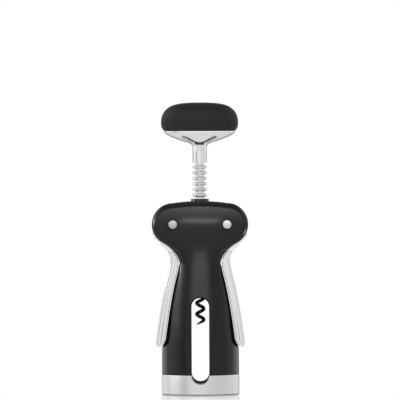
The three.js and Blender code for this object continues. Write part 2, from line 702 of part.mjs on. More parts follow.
// Hub outline with its toothed sector, from the inward side over the top
function hubOutline() {
  const points = [];
  for (let tooth = 0; tooth < TEETH_CUT; tooth += 1) {
    const turn = TOOTH_PHASE + tooth * TOOTH_STEP;
    const out = new THREE.Vector2(-Math.cos(turn), Math.sin(turn));
    const over = new THREE.Vector2(Math.sin(turn), Math.cos(turn));
    const corner = (radius, offset) => {
      const point = out.clone().multiplyScalar(radius).addScaledVector(over, offset);
      points.push([PIVOT_X + point.x, PIVOT_HEIGHT + point.y]);
    };
    corner(HUB_RADIUS, -TOOTH_ROOT_HALF_WIDTH);
    corner(TOOTH_TIP_RADIUS, -TOOTH_TIP_HALF_WIDTH);
    corner(TOOTH_TIP_RADIUS, TOOTH_TIP_HALF_WIDTH);
    corner(HUB_RADIUS, TOOTH_ROOT_HALF_WIDTH);
  }
  const plainStart = TOOTH_PHASE + TEETH_CUT * TOOTH_STEP;
  const plainEnd = TOOTH_PHASE + 2 * Math.PI - TOOTH_STEP;
  for (const turn of spaced(plainStart, plainEnd, SMALL_SIDES)) {
    points.push([PIVOT_X - HUB_RADIUS * Math.cos(turn), PIVOT_HEIGHT + HUB_RADIUS * Math.sin(turn)]);
  }
  return points;
}

// Thin blade that carries the arm, with the shoulder that stops the lever at the top of its swing
function bladeOutline() {
  const turns = [...spaced(SHOULDER_END_ANGLE, SHOULDER_FOOT_ANGLE, 8), SHOULDER_FOOT_ANGLE];
  const shoulder = turns.map((turn) => {
    const share = (turn - SHOULDER_FOOT_ANGLE) / (SHOULDER_END_ANGLE - SHOULDER_FOOT_ANGLE);
    const step = mix(SHOULDER_FOOT_STEP, SHOULDER_END_STEP, share) * (1 - share ** SHOULDER_POWER);
    const radius = LOBE_RADIUS + step;
    return [PIVOT_X + radius * Math.sin(turn), PIVOT_HEIGHT - radius * Math.cos(turn)];
  });
  const neckTop = PIVOT_HEIGHT - SHOULDER_FOOT_RADIUS * Math.cos(SHOULDER_FOOT_ANGLE) - SHOULDER_RUN;
  const heights = spaced(neckTop, WAIST_HEIGHT, 7);
  const outer = heights.map((z) => [armOuter(z) - (z > ARM_TOP ? 0 : ARM_EDGE), z]);
  return [
    [PIVOT_X, PIVOT_HEIGHT], ...shoulder, ...outer,
    [armInner(WAIST_HEIGHT) + ARM_NECK_THICKNESS / 2, WAIST_HEIGHT],
    [armInner(BLADE_FOOT), BLADE_FOOT], bladeInnerCorner(),
  ];
}

// Section of the arm at one height: a bar with crisp inner edges and bowed bevels outside
function armRing(inner, outer, z) {
  const bevel = ARM_BEVEL_SHARE * (outer - inner);
  const [startSine, startCosine] = [Math.sin(ARM_BEVEL_START), Math.cos(ARM_BEVEL_START)];
  const turns = [...spaced(ARM_BEVEL_START, Math.PI / 2, 3), Math.PI / 2];
  const bow = turns.map((turn) => [
    outer - bevel * (1 - Math.sin(turn)) / (1 - startSine),
    ARM_BEVEL_DEPTH * (1 - Math.cos(turn) / startCosine) - ARM_HALF_WIDTH,
  ]);
  const front = [[inner, ARM_EDGE - ARM_HALF_WIDTH], [inner + ARM_EDGE, -ARM_HALF_WIDTH], ...bow];
  const rear = front.map(([x, y]) => [x, -y]).reverse();
  return [...front, ...rear].map(([x, y]) => new THREE.Vector3(x, y, z));
}

// Wide arm that lies along the body, rounded at the tip
function arm() {
  const tip = [0, 1 / 3, 2 / 3].map((share) => {
    const turn = share * Math.PI / 2;
    const z = ARM_TIP + ARM_TIP_ROUND * (1 - Math.cos(turn));
    const back = ARM_TIP_ROUND * (1 - Math.sin(turn));
    return armRing(armInner(z) + back * ARM_HEEL_SHARE, armOuter(z) - back * (1 - ARM_HEEL_SHARE), z);
  });
  const tipTop = ARM_TIP + ARM_TIP_ROUND;
  const heights = [...spaced(tipTop, WAIST_HEIGHT, 10), ...spaced(WAIST_HEIGHT, ARM_TOP, 4), ARM_TOP];
  return loft([...tip, ...heights.map((z) => armRing(armInner(z), armOuter(z), z))]);
}

// The right lever about its own pivot
function lever() {
  const body = joined(
    plate(hubOutline(), -HUB_HALF_WIDTH, HUB_HALF_WIDTH),
    plate(bladeOutline(), -HUB_HALF_WIDTH, HUB_HALF_WIDTH),
    arm(),
  );
  const reach = HUB_HALF_WIDTH + OVERRUN;
  const geometry = geometryOf(cut(body, crossRod(PIN_BORE_RADIUS, -reach, reach, PIVOT_X, PIVOT_HEIGHT)));
  geometry.translate(-PIVOT_X, 0, -PIVOT_HEIGHT);
  return geometry;
}

// Spindle

function rackShaft() {
  const points = [[0, RACK_FOOT], [RACK_PLAIN_RADIUS, RACK_FOOT]];
  points.push([RACK_PLAIN_RADIUS, RACK_FIRST_RING - RACK_PITCH / 2]);
  for (let ring = 0; ring < RACK_RING_COUNT; ring += 1) {
    const height = RACK_FIRST_RING + ring * RACK_PITCH;
    points.push(
      [RACK_ROOT_RADIUS, height - RACK_RING_BASE / 2],
      [RACK_RADIUS, height - RACK_LAND / 2],
      [RACK_RADIUS, height + RACK_LAND / 2],
      [RACK_ROOT_RADIUS, height + RACK_RING_BASE / 2],
    );
  }
  const seat = NECK_FOOT - CLEAR;
  points.push([RACK_ROOT_RADIUS, seat], [STUD_RADIUS, seat], [STUD_RADIUS, STUD_TOP], [0, STUD_TOP]);
  const shankBore = rod(WORM_SHANK_RADIUS + CLEAR, RACK_FOOT - OVERRUN, WORM_TOP + CLEAR, SMALL_SIDES);
  return cut(solid(turned(points, SMALL_SIDES)), shankBore, wormPinHole());
}

function wormPinHole() {
  const reach = RACK_PLAIN_RADIUS + OVERRUN;
  return crossRod(WORM_PIN_RADIUS + CLEAR, -reach, reach, 0, WORM_PIN_HEIGHT, SMALL_SIDES / 2);
}

// Right-handed coil from its point up to the shank, which it runs into over the last half turn
class WormCurve extends THREE.Curve {
  constructor() {
    super();
    this.rise = RACK_FOOT - WORM_SHANK_DROP + WORM_WIRE_RADIUS - WORM_TIP_HEIGHT;
  }

  getPoint(t, target = new THREE.Vector3()) {
    const height = t * this.rise;
    const turn = Math.PI + 2 * Math.PI * height / WORM_PITCH;
    const left = (this.rise - height) / (WORM_PITCH / 2);
    const radius = WORM_COIL_RADIUS * mix(WORM_ROOT_SHARE, 1, smoothStep(0, 1, left));
    return target.set(radius * Math.cos(turn), radius * Math.sin(turn), WORM_TIP_HEIGHT + height);
  }
}

function worm() {
  const curve = new WormCurve();
  const turns = curve.rise / WORM_PITCH;
  const steps = Math.round(WORM_STEPS_PER_TURN * turns);
  const rings = [];
  const up = new THREE.Vector3(0, 0, 1);
  for (let step = 0; step <= steps; step += 1) {
    const t = step / steps;
    const centre = curve.getPoint(t);
    const ahead = curve.getPoint(Math.min(t + 1 / (8 * steps), 1));
    const behind = curve.getPoint(Math.max(t - 1 / (8 * steps), 0));
    const run = ahead.sub(behind).normalize();
    const side = up.clone().cross(run).normalize();
    const lift = run.clone().cross(side);
    const taper = Math.min(t * curve.rise / WORM_TIP_LENGTH, 1);
    const radius = WORM_WIRE_RADIUS * mix(WORM_POINT_SHARE, 1, Math.sin(taper * Math.PI / 2));
    rings.push(Array.from({ length: WORM_SIDES }, (_, i) => {
      const turn = 2 * Math.PI * i / WORM_SIDES;
      return centre.clone()
        .addScaledVector(side, radius * Math.cos(turn))
        .addScaledVector(lift, radius * Math.sin(turn));
    }));
  }
  const shank = rod(WORM_SHANK_RADIUS, RACK_FOOT - WORM_SHANK_DROP, WORM_TOP, SMALL_SIDES);
  return cut(joined(loft(rings), shank), wormPinHole());
}

function wormPin() {
  const reach = RACK_PLAIN_RADIUS;
  return crossRod(WORM_PIN_RADIUS, -reach, reach, 0, WORM_PIN_HEIGHT, SMALL_SIDES / 2);
}

// Knob

function knobBase() {
  const halfDepth = KNOB_DEPTH_SHARE * FLARE_HALF_WIDTH;
  const rows = FLARE_SHARES.map(([rise, across, forward]) => ellipse(
    mix(NECK_RADIUS, FLARE_HALF_WIDTH, across),
    mix(NECK_RADIUS, halfDepth, forward),
    mix(NECK_HEAD, FLARE_TOP - FLARE_LIP, rise),
  ));
  const foot = ellipse(NECK_RADIUS, NECK_RADIUS, NECK_FOOT);
  const blank = loft([foot, ...rows, ellipse(FLARE_HALF_WIDTH, halfDepth, FLARE_TOP)]);
  return cut(blank, rod(STUD_RADIUS + CLEAR, NECK_FOOT - OVERRUN, FLARE_TOP + OVERRUN, SMALL_SIDES));
}

function gripHalfWidth(z) {
  return GRIP_HALF_WIDTH * along(GRIP_SHARES, (z - GRIP_FOOT) / (GRIP_TOP - GRIP_FOOT));
}

function gripRings(inset, top) {
  const rows = GRIP_SHARES.map(([rise]) => mix(GRIP_FOOT, GRIP_TOP, rise)).filter((z) => z < top);
  return [...rows, top].map((z) => {
    const full = gripHalfWidth(z);
    return ellipse(full - inset, full * KNOB_DEPTH_SHARE - inset, z);
  });
}

function knobGrip() {
  const roof = GRIP_TOP - GRIP_ROOF;
  const pocket = gripRings(GRIP_WALL, roof);
  const mouth = pocket[0].map((point) => new THREE.Vector3(point.x, point.y, GRIP_FOOT - OVERRUN));
  return cut(loft(gripRings(0, GRIP_TOP)), loft([mouth, ...pocket]));
}

function knobCore() {
  const top = GRIP_TOP - GRIP_ROOF - CLEAR;
  const body = loft(gripRings(GRIP_WALL + CLEAR, top));
  const nutPocket = rod(NUT_RADIUS + CLEAR, NUT_SEAT_HEIGHT - CLEAR, GRIP_TOP, NUT_SIDES);
  return cut(body, rod(STUD_RADIUS + CLEAR, GRIP_FOOT - OVERRUN, GRIP_TOP, SMALL_SIDES), nutPocket);
}

function knobNut() {
  return cut(
    rod(NUT_RADIUS, NUT_SEAT_HEIGHT, NUT_SEAT_HEIGHT + NUT_HEIGHT, NUT_SIDES),
    rod(STUD_RADIUS + CLEAR, NUT_SEAT_HEIGHT - OVERRUN, GRIP_TOP, SMALL_SIDES),
  );
}

// Foil cutter

function baseRing() {
  const inner = RING_RADIUS - RING_WALL;
  const edge = [0, 0.5, 1].map((share) => {
    const turn = share * Math.PI / 2;
    return [RING_RADIUS - RING_EDGE * (1 - Math.sin(turn)), RING_EDGE * (1 - Math.cos(turn))];
  });
  const profile = [[inner, 0], ...edge, [RING_RADIUS, RING_HEIGHT], [inner, RING_HEIGHT]];
  return cut(tube(profile, 2 * ROUND_SIDES), sightWindow());
}

function cutterSpots() {
  return Array.from({ length: CUTTER_COUNT }, (_, i) => {
    const turn = 2 * Math.PI * (i + 0.5) / CUTTER_COUNT;
    return { turn, x: CUTTER_ORBIT * Math.cos(turn), y: CUTTER_ORBIT * Math.sin(turn) };
  });
}

function cutterCarrier() {
  const spigot = NECK_BORE_RADIUS + SPIGOT_WALL;
  const top = RING_HEIGHT + SPIGOT_HEIGHT;
  const body = tube([
    [NECK_BORE_RADIUS, 0], [CARRIER_RADIUS, 0], [CARRIER_RADIUS, RING_HEIGHT],
    [spigot, RING_HEIGHT], [spigot, top], [NECK_BORE_RADIUS, top],
  ], 2 * ROUND_SIDES);
  const tools = [sightWindow()];
  const room = CUTTER_RADIUS + CLEAR;
  const low = CUTTER_HEIGHT - CUTTER_THICKNESS / 2 - CLEAR;
  const high = CUTTER_HEIGHT + CUTTER_THICKNESS / 2 + CLEAR;
  const axleTop = CUTTER_AXLE_LENGTH + 2 * CLEAR;
  for (const { turn, x, y } of cutterSpots()) {
    const mouth = new THREE.BoxGeometry(CUTTER_ORBIT, 2 * room, high - low);
    mouth.translate(CUTTER_ORBIT / 2, 0, (low + high) / 2);
    mouth.rotateZ(turn);
    const well = rod(room, low, high, SMALL_SIDES);
    const axle = rod(CUTTER_AXLE_RADIUS + CLEAR, -OVERRUN, axleTop, SMALL_SIDES / 2);
    tools.push(solid(mouth), well.translate([x, y, 0]), axle.translate([x, y, 0]));
  }
  return cut(body, ...tools);
}

function cutterDisc() {
  const half = CUTTER_THICKNESS / 2;
  const bore = CUTTER_AXLE_RADIUS + CLEAR;
  const shoulder = CUTTER_RADIUS - CUTTER_BEVEL;
  return geometryOf(tube([
    [bore, -half], [shoulder, -half], [CUTTER_RADIUS, 0], [shoulder, half], [bore, half],
  ], SMALL_SIDES));
}

function cutterAxle() {
  return geometryOf(rod(CUTTER_AXLE_RADIUS, CLEAR, CLEAR + CUTTER_AXLE_LENGTH, SMALL_SIDES / 2));
}

// Materials and the assembly

function finish(color, roughness, metalness) {
  return new THREE.MeshStandardMaterial({ color, roughness, metalness });
}

const satinBlack = () => finish(0x303032, 0.42, 0);
const mattBlack = () => finish(0x161617, 0.75, 0);
const softBlack = () => finish(0x2f2f31, 0.7, 0);
const satinSilver = () => finish(0xcfd0d1, 0.32, 0.9);
const polished = () => finish(0xd8d9da, 0.14, 1);
const wormBlack = () => finish(0x141415, 0.3, 0.2);

function part(name, geometry, material, x = 0, y = 0, z = 0) {
  const mesh = new THREE.Mesh(geometry, material);
  mesh.name = name;
  mesh.position.set(x, y, z);
  return mesh;
}

function bodyGroup() {
  const front = geometryOf(frontCover());
  const group = new THREE.Group();
  group.add(
    part("front_shell", front, satinBlack()),
    part("rear_shell", geometryOf(mirrored(front, 1, -1)), satinBlack()),
    part("inner_frame", geometryOf(innerFrame()), mattBlack()),
    part("top_bushing", geometryOf(topBushing()), satinBlack()),
  );
  const pin = pivotPin();
  const ring = washer();
  const washerSeat = HUB_HALF_WIDTH + CLEAR;
  const frontSeat = -washerSeat - WASHER_THICKNESS;
  for (const [name, x] of [["left", -PIVOT_X], ["right", PIVOT_X]]) {
    group.add(
      part(`${name}_pivot_pin`, geometryOf(solid(pin)), polished(), x, 0, PIVOT_HEIGHT),
      part(`${name}_front_washer`, ring.clone(), satinSilver(), x, frontSeat, PIVOT_HEIGHT),
      part(`${name}_rear_washer`, ring.clone(), satinSilver(), x, washerSeat, PIVOT_HEIGHT),
    );
  }
  return group;
}

function leverGroup() {
  const right = lever();
  const left = geometryOf(mirrored(right, -1, 1));
  const group = new THREE.Group();
  group.add(
    part("left_lever", left, satinSilver(), -PIVOT_X, 0, PIVOT_HEIGHT),
    part("right_lever", right, satinSilver(), PIVOT_X, 0, PIVOT_HEIGHT),
  );
  return group;
}

function spindleGroup() {
  const group = new THREE.Group();
  group.add(
    part("rack_shaft", geometryOf(rackShaft()), polished()),
    part("worm", geometryOf(worm()), wormBlack()),
    part("worm_pin", geometryOf(wormPin()), polished()),
    part("knob_base", geometryOf(knobBase()), polished()),
    part("knob_core", geometryOf(knobCore()), mattBlack()),
    part("knob_grip", geometryOf(knobGrip()), softBlack()),
    part("knob_nut", geometryOf(knobNut()), satinSilver()),
  );
  return group;
}

function foilCutterGroup() {
  const group = new THREE.Group();
  group.add(
    part("base_ring", geometryOf(baseRing()), satinSilver()),
    part("cutter_carrier", geometryOf(cutterCarrier()), mattBlack()),
  );
  const disc = cutterDisc();
  const axle = cutterAxle();
  cutterSpots().forEach(({ x, y }, i) => {
    group.add(
      part(`cutter_disc_${i + 1}`, disc.clone(), polished(), x, y, CUTTER_HEIGHT),
      part(`cutter_axle_${i + 1}`, axle.clone(), satinSilver(), x, y, 0),
    );
  });
  return group;
}

const corkscrew = new THREE.Group();
corkscrew.add(bodyGroup(), leverGroup(), spindleGroup(), foilCutterGroup());

export default corkscrew;
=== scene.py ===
"""Winged corkscrew: the visible pieces, finishes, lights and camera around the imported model."""

import json
import math

import bmesh
import bpy
import numpy as np
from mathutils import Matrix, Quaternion, Vector


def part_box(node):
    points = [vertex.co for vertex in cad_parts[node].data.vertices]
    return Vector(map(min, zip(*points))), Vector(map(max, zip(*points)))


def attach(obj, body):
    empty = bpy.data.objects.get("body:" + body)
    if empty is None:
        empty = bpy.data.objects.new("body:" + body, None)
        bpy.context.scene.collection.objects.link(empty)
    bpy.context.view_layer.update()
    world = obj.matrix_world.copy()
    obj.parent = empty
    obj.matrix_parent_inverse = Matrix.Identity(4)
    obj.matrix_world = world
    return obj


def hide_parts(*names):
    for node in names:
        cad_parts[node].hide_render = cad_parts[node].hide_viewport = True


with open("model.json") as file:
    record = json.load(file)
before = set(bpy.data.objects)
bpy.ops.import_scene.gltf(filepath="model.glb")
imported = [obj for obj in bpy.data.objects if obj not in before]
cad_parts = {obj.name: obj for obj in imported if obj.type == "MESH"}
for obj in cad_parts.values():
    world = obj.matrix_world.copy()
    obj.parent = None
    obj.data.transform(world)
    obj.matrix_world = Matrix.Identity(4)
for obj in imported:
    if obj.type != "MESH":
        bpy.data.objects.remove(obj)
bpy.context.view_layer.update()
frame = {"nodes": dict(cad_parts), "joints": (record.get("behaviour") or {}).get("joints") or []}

bl_info = {
    "name": "Winged corkscrew",
    "version": (1, 0, 0),
    "blender": (4, 5, 0),
    "location": "View3D > Sidebar > Corkscrew",
    "description": "Builds a winged corkscrew around its packed model, with a studio stage",
    "category": "Add Mesh",
}

# Lengths are in millimetres where no comment says metres, and become metres where something is made
MM = 0.001


def frame_box(node):
    """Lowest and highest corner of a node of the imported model, in millimetres."""
    low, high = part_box(node)
    return np.array(low) / MM, np.array(high) / MM


def joint_place(name):
    """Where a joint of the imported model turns, in millimetres."""
    place = next(joint["pos_m"] for joint in frame["joints"] if joint["name"] == name)
    return np.array(place) / MM


_, RING_HIGH = frame_box("base_ring")
_, CARRIER_HIGH = frame_box("cutter_carrier")
COVER_LOW, _ = frame_box("front_shell")
CASTING_LOW, CASTING_HIGH = frame_box("inner_frame")
LEVER_LOW, LEVER_HIGH = frame_box("right_lever")
COLLAR_LOW, COLLAR_HIGH = frame_box("top_bushing")
RACK_LOW, RACK_HIGH = frame_box("rack_shaft")
FLARE_LOW, FLARE_HIGH = frame_box("knob_base")
GRIP_LOW, GRIP_HIGH = frame_box("knob_grip")
DISC_LOW, DISC_HIGH = frame_box("cutter_disc_1")
AXLE_LOW, AXLE_HIGH = frame_box("cutter_axle_1")
PIVOT = joint_place("right_lever_swing")
CUTTER = joint_place("cutter_wheel_1_spin")

# Gap between neighbours, and how far a cutter runs past what it cuts
CLEAR = 0.3
OVERRUN = 3.0

# Foot ring and foil cutter
RING_RADIUS = RING_HIGH[0]
RING_HEIGHT = RING_HIGH[2]
RING_WALL = 2.5
RING_EDGE = 1.0
RING_TOP_EDGE = 0.5
NOTCH_FLARE = 0.7
CARRIER_RADIUS = CARRIER_HIGH[0]
CARRIER_HEIGHT = CARRIER_HIGH[2]
SPIGOT_RADIUS = 18.3
CUTTER_ORBIT = math.hypot(CUTTER[0], CUTTER[1])
CUTTER_RADIUS = (DISC_HIGH[0] - DISC_LOW[0]) / 2
CUTTER_THICKNESS = DISC_HIGH[2] - DISC_LOW[2]
CUTTER_BEVEL = 0.9
AXLE_RADIUS = (AXLE_HIGH[0] - AXLE_LOW[0]) / 2
CUTTER_COUNT = 4

# Bottle bore, cork chamber and sight window
NECK_BORE_RADIUS = 16.0
LIP_SEAT_HEIGHT = 46.0
CHAMBER_RADIUS = 12.5
CHAMBER_TOP = 88.0
WINDOW_HALF_WIDTH = 6.35
WINDOW_BOTTOM = 8.5
WINDOW_TOP = 70.1
WINDOW_FLARE = 0.9

# Outline of the body
BODY_FOOT = COVER_LOW[2]
SKIRT_STEP = 0.2
SKIRT_RADIUS = RING_RADIUS - SKIRT_STEP
BAY_FOOT = 33.7
BAY_CORNER = 6.4
BAY_STEP = 2.0
BAY_HALF_WIDTH = SKIRT_RADIUS - BAY_STEP
BAY_HOOK = 2.2
RIM_STEP = 2.65
WAIST_HEIGHT = 94.0
WAIST_HALF_WIDTH = 15.2
WAIST_FULL_HALF_WIDTH = 18.2
NECK_TOP = 104.0
FILLET_TOP = 109.5
HEAD_TOP = 139.7
HEAD_HALF_DEPTH = 14.4
FACE_LEAN = 3.4
FACE_LEAN_HEIGHT = 22.7
BEVEL_WIDTH = 3.3
BEVEL_SLOPE_DEPTH = 0.8
BEVEL_BOW_DEPTH = 3.5
CREASE_ROUND = 0.1
EDGE_ROUND = 0.5
COVER_EDGE = 0.7

# Inner casting
CASTING_HALF_DEPTH = CASTING_HIGH[1]
CASTING_FOOT = CASTING_LOW[2]
CASTING_TOP = CASTING_HIGH[2]
CASTING_INSET = 0.5
BRIDGE_HALF_WIDTH = 11.4

# Pivots and their pins
PIVOT_X = PIVOT[0]
PIVOT_HEIGHT = PIVOT[2]
LOBE_RADIUS = 15.2
PIN_RADIUS = 2.3
PIN_HEAD_RADIUS = 3.17
PIN_HEAD_HEIGHT = 1.4
PIN_DOME = 0.7
PIN_RECESS_RADIUS = 3.9
PIN_RECESS_FLARE = 0.35
WASHER_THICKNESS = 0.6

# Levers
HUB_HALF_WIDTH = 3.9
HUB_RADIUS = 13.9
TOOTH_TIP_RADIUS = 15.1
TOOTH_ROOT_HALF_WIDTH = 1.25
TOOTH_TIP_HALF_WIDTH = 0.55
TOOTH_PHASE = math.radians(-4.1)
TEETH_PER_TURN = 23
TEETH_CUT = 11
SHOULDER_FOOT_STEP = 1.2
SHOULDER_END_STEP = 1.6
SHOULDER_POWER = 7
SHOULDER_RUN = 2.1
SHOULDER_FOOT_ANGLE = math.radians(36)
SHOULDER_END_ANGLE = math.radians(71)
ARM_HALF_WIDTH = LEVER_HIGH[1]
ARM_THICKNESS = 6.3
ARM_NECK_THICKNESS = 3.9
ARM_TOP = 103.5
ARM_TIP = LEVER_LOW[2]
ARM_TIP_ROUND = 4.0
ARM_EDGE = 0.35
ARM_BEVEL_DEPTH = 1.9
ARM_BEVEL_START = math.radians(14)
ARM_GAP = 0.45
BLADE_FOOT = 96.0
BLADE_INNER_ANGLE = math.radians(40)
BLADE_GAP = 0.6

# Rack spindle and worm
RACK_PITCH = 4.03
RACK_RADIUS = RACK_HIGH[0]
RACK_ROOT_RADIUS = 3.56
RACK_LAND = 1.36
RACK_RING_BASE = 2.62
RACK_RING_COUNT = 12
RACK_FIRST_RING = 119.92
RACK_PLAIN_RADIUS = 5.0
RACK_FOOT = RACK_LOW[2]
RACK_EDGE = 0.16
WORM_TIP_HEIGHT = 50.0
WORM_PITCH = 7.92
WORM_COIL_RADIUS = 2.5
WORM_WIRE_RADIUS = 1.3
WORM_TIP_LENGTH = 4.2
WORM_SHANK_RADIUS = 2.2
WORM_SHANK_DROP = 2.8

# Bushing in the top of the body
BUSH_RADIUS = 6.5
BUSH_TOP = COLLAR_HIGH[2]
BUSH_FLANGE_RADIUS = COLLAR_HIGH[0]
BUSH_FLANGE_HEIGHT = 2.5
BUSH_FOOT = COLLAR_LOW[2]
BUSH_EDGE = 0.4

# Knob
NECK_RADIUS = 5.2
NECK_FOOT = FLARE_LOW[2]
NECK_HEAD = 179.4
FLARE_TOP = FLARE_HIGH[2]
FLARE_HALF_WIDTH = FLARE_HIGH[0]
FLARE_LIP = 0.7
GRIP_FOOT = GRIP_LOW[2]
GRIP_TOP = GRIP_HIGH[2]
GRIP_HALF_WIDTH = GRIP_HIGH[0]
KNOB_DEPTH_SHARE = 0.49
STUD_RADIUS = 3.0

# Shares chosen: how far up, and how much of the difference in size is left there
FLANK_SHARES = [(0, 1), (0.22, 0.84), (0.46, 0.635), (0.69, 0.395), (0.81, 0.24), (0.93, 0.075), (1, 0)]
DEPTH_SHARES = [(0, 1), (0.2, 0.96), (0.35, 0.84), (0.51, 0.65), (0.68, 0.42), (0.82, 0.21), (0.91, 0.08),
                (1, 0)]
WIDTH_SHARES = [(0, 1), (0.2, 0.99), (0.35, 0.87), (0.51, 0.66), (0.68, 0.38), (0.82, 0.12), (0.91, 0.02),
                (1, 0)]
ARM_THINNING_SHARES = [(0, 1), (0.2, 0.97), (0.37, 0.87), (0.56, 0.6), (0.72, 0.4), (1, 0)]
RIM_SHARES = [(0, 1), (0.22, 1), (0.46, 0.7), (0.63, 0.66), (0.81, 0.6), (1, 0.16)]
FLARE_SHARES = [(0, 0), (0.06, 0.02), (0.16, 0.06), (0.24, 0.13), (0.34, 0.3), (0.46, 0.47), (0.62, 0.68),
                (0.8, 0.86), (1, 1)]
FLARE_FRONT_SHARES = [(0, 0), (0.06, 0.02), (0.12, 0.08), (0.2, 0.19), (0.3, 0.32), (0.6, 0.62), (1, 1)]
GRIP_SHARES = [(0, 0.915), (0.07, 0.957), (0.17, 0.991), (0.29, 1), (0.41, 0.9955), (0.55, 0.969),
               (0.69, 0.914), (0.78, 0.851), (0.86, 0.767), (0.92, 0.66), (0.96, 0.53), (0.985, 0.38),
               (1, 0.18)]
ARM_HEEL_SHARE = 0.3
ARM_BEVEL_SHARE = 0.43
ARM_COVE_SHARE = 0.125
WORM_POINT_SHARE = 0.05
WORM_ROOT_SHARE = 0.4
ROUND_EXPONENT = 2.0
WAIST_EXPONENT = 2.4
FILLET_POWER = 2.15
HOOK_POWER = 1.5

# Sizes that follow from the ones above
LOBE_TOP = PIVOT_HEIGHT + LOBE_RADIUS
COVER_INNER = CASTING_HALF_DEPTH + CLEAR
BAY_CORNER_TOP = BAY_FOOT + BAY_CORNER
LIP_FOOT = CASTING_TOP + CLEAR
SLOT_HALF_WIDTH = HUB_HALF_WIDTH + WASHER_THICKNESS + 2 * CLEAR
GEAR_SLOT_RADIUS = TOOTH_TIP_RADIUS + CLEAR
RACK_BORE_RADIUS = RACK_RADIUS + CLEAR
PIN_BORE_RADIUS = PIN_RADIUS + CLEAR
TOOTH_STEP = 2 * math.pi / TEETH_PER_TURN
SIDE_REACH = PIVOT_X + LOBE_RADIUS + OVERRUN
BLADE_CORNER = (PIVOT_X - HUB_RADIUS * math.sin(BLADE_INNER_ANGLE),
                PIVOT_HEIGHT - HUB_RADIUS * math.cos(BLADE_INNER_ANGLE))

# How finely the pieces are drawn
ROUND_SIDES = 96
SMALL_SIDES = 48
SHARP_ANGLE = math.radians(32)
WELD_DISTANCE = 1e-3
SLIVER_SIZE = 1e-4
SKIRT_ROWS = 16
CORNER_ROWS = 14
FLANK_ROWS = 50
FILLET_ROWS = 34
LOBE_ROWS = 90
ARCH_ROWS = 16
ARCH_END_SHARE = 0.04
COVER_COLUMNS = 112
EDGE_STEPS = 5
WINDOW_ARC_SIDES = 40
WINDOW_ROWS = 58
ROUND_STEPS = 6
RING_EDGE_STEPS = 10
DOME_STEPS = 14
ARM_TIP_STEPS = 16
ARM_ROWS = 110
ARM_BEVEL_STEPS = 9
ARM_COVE_STEPS = 13
SHOULDER_STEPS = 30
SHOULDER_ROWS = 24
COIL_STEPS_PER_TURN = 44
WIRE_SIDES = 20
FLARE_ROWS = 60
GRIP_ROWS = 70
GRIP_ROW_POWER = 1.6

# Moulded and painted finishes: roughness from and to, grain size, grain depth, specular level
COVER_GRAIN = (2600.0, 0.06, 0.29)
COVER_ROUGHNESS_SPAN = 0.05
# The casting's colour and low specular level make it darker than its own matt black, as painted shade in the
# gap between covers and levers
CASTING_FINISH = (0.6, 0.72, 900.0, 0.25, 0.08)
COLLAR_FINISH = (0.1, 0.16, 2600.0, 0.02, 0.5)
WORM_FINISH = (0.16, 0.24, 1500.0, 0.05, 0.5)
GRIP_GRAIN = (1500.0, 0.15, 0.35)
GRIP_ROUGHNESS_SPAN = 0.08
CORE_FINISH = (0.5, 0.6, 1800.0, 0.12, 0.5)
CARRIER_FINISH = (0.4, 0.5, 1800.0, 0.12, 0.5)

# Metal finishes: roughness from and to, how the brushing is stretched, its depth, edge tint (below 1 it is
# painted shade at grazing edges)
LEVER_BRUSHING = ((900.0, 900.0, 40.0), 0.05, 0.3)
LEVER_ROUGHNESS_SPAN = 0.06
RING_FINISH = (0.3, 0.38, (60.0, 60.0, 2500.0), 0.05, 1.0)
RACK_FINISH = (0.06, 0.1, (60.0, 60.0, 3000.0), 0.06, 1.0)
FLARE_FINISH = (0.08, 0.12, (300.0, 300.0, 300.0), 0.02, 0.3)
PIN_FINISH = (0.34, 0.4, (400.0, 400.0, 400.0), 0.03, 1.0)
DISC_FINISH = (0.15, 0.25, (60.0, 60.0, 2500.0), 0.05, 1.0)
STEEL_FINISH = (0.3, 0.45, (500.0, 500.0, 500.0), 0.1, 1.0)
RACK_TONE_SHARE = 0.9
# Painted light and shade on the pins: one polished colour, darkened more on the left pin as painted shade
# and less on the right pin as painted light
PIN_LIGHT_SHADE_SHARES = {"left": 0.62, "right": 0.84}

# Textures: part of the noise that shows, its detail and roughness (with its scale for the brushing),
# heights in metres, and how much the colour varies
NOISE_SPAN = (0.3, 0.7)
PATCH_NOISE = (4.0, 0.55)
GRAIN_NOISE = (3.0, 0.6)
BRUSHING_NOISE = (1.0, 5.0, 0.65)
PATCH_SIZE = 60.0
GRAIN_HEIGHT = 0.00005
BRUSHING_HEIGHT = 0.00003
GRAIN_TINT = 0.12
BRUSHING_TINT = 0.05

# Soft panels around the object: turn, rise, half and soft turn and rise in degrees, and level
PANELS = (
    (-98, 8, 34, 34, 16, 16, 1.25),
    (-88, 18, 14, 9, 12, 8, 3),
    (122, 0, 20, 30, 12, 16, 1.2),
    (0, 16, 10, 4, 26, 6, 1.45),
    (0, 25, 10, 3, 26, 4, 3.1),
    (0, 90, 180, 30, 1, 20, 0.4),
)
PANEL_SIZES = ("Centre turn", "Centre rise", "Half turn", "Half rise", "Soft turn", "Soft rise")

# Level of the surround near the horizon, by compass angle from the front in degrees
HORIZON = (
    (-180, 0.2), (-160, 0.65), (-148, 0.98), (-130, 1.14), (-120, 1.05), (-112, 0.5), (-104, 1.05),
    (-94, 1.14), (-74, 1.02), (-61, 0.92), (-50, 0.3), (-39, 0.98), (-14, 1.08), (8, 1.06), (22, 0.9),
    (85, 0.84), (98, 1.05), (108, 0.78), (118, 1.08), (128, 1.1), (148, 1.0), (160, 0.4), (180, 0.2),
)
HORIZON_PEAK = 1.25
HORIZON_RISE = math.radians(9)
HORIZON_SOFT = math.radians(5)

# Level behind the object, between two compass angles, and of the table in reflections
BEHIND_LEVEL = 0.45
BEHIND_TURNS = (math.radians(135), math.radians(165))
TABLE_LEVEL = 0.92

# Contact shade round the foot, in reflections: how far it reaches and its darkest level
CONTACT_REACH = 3.0
CONTACT_LEVEL = 0.3

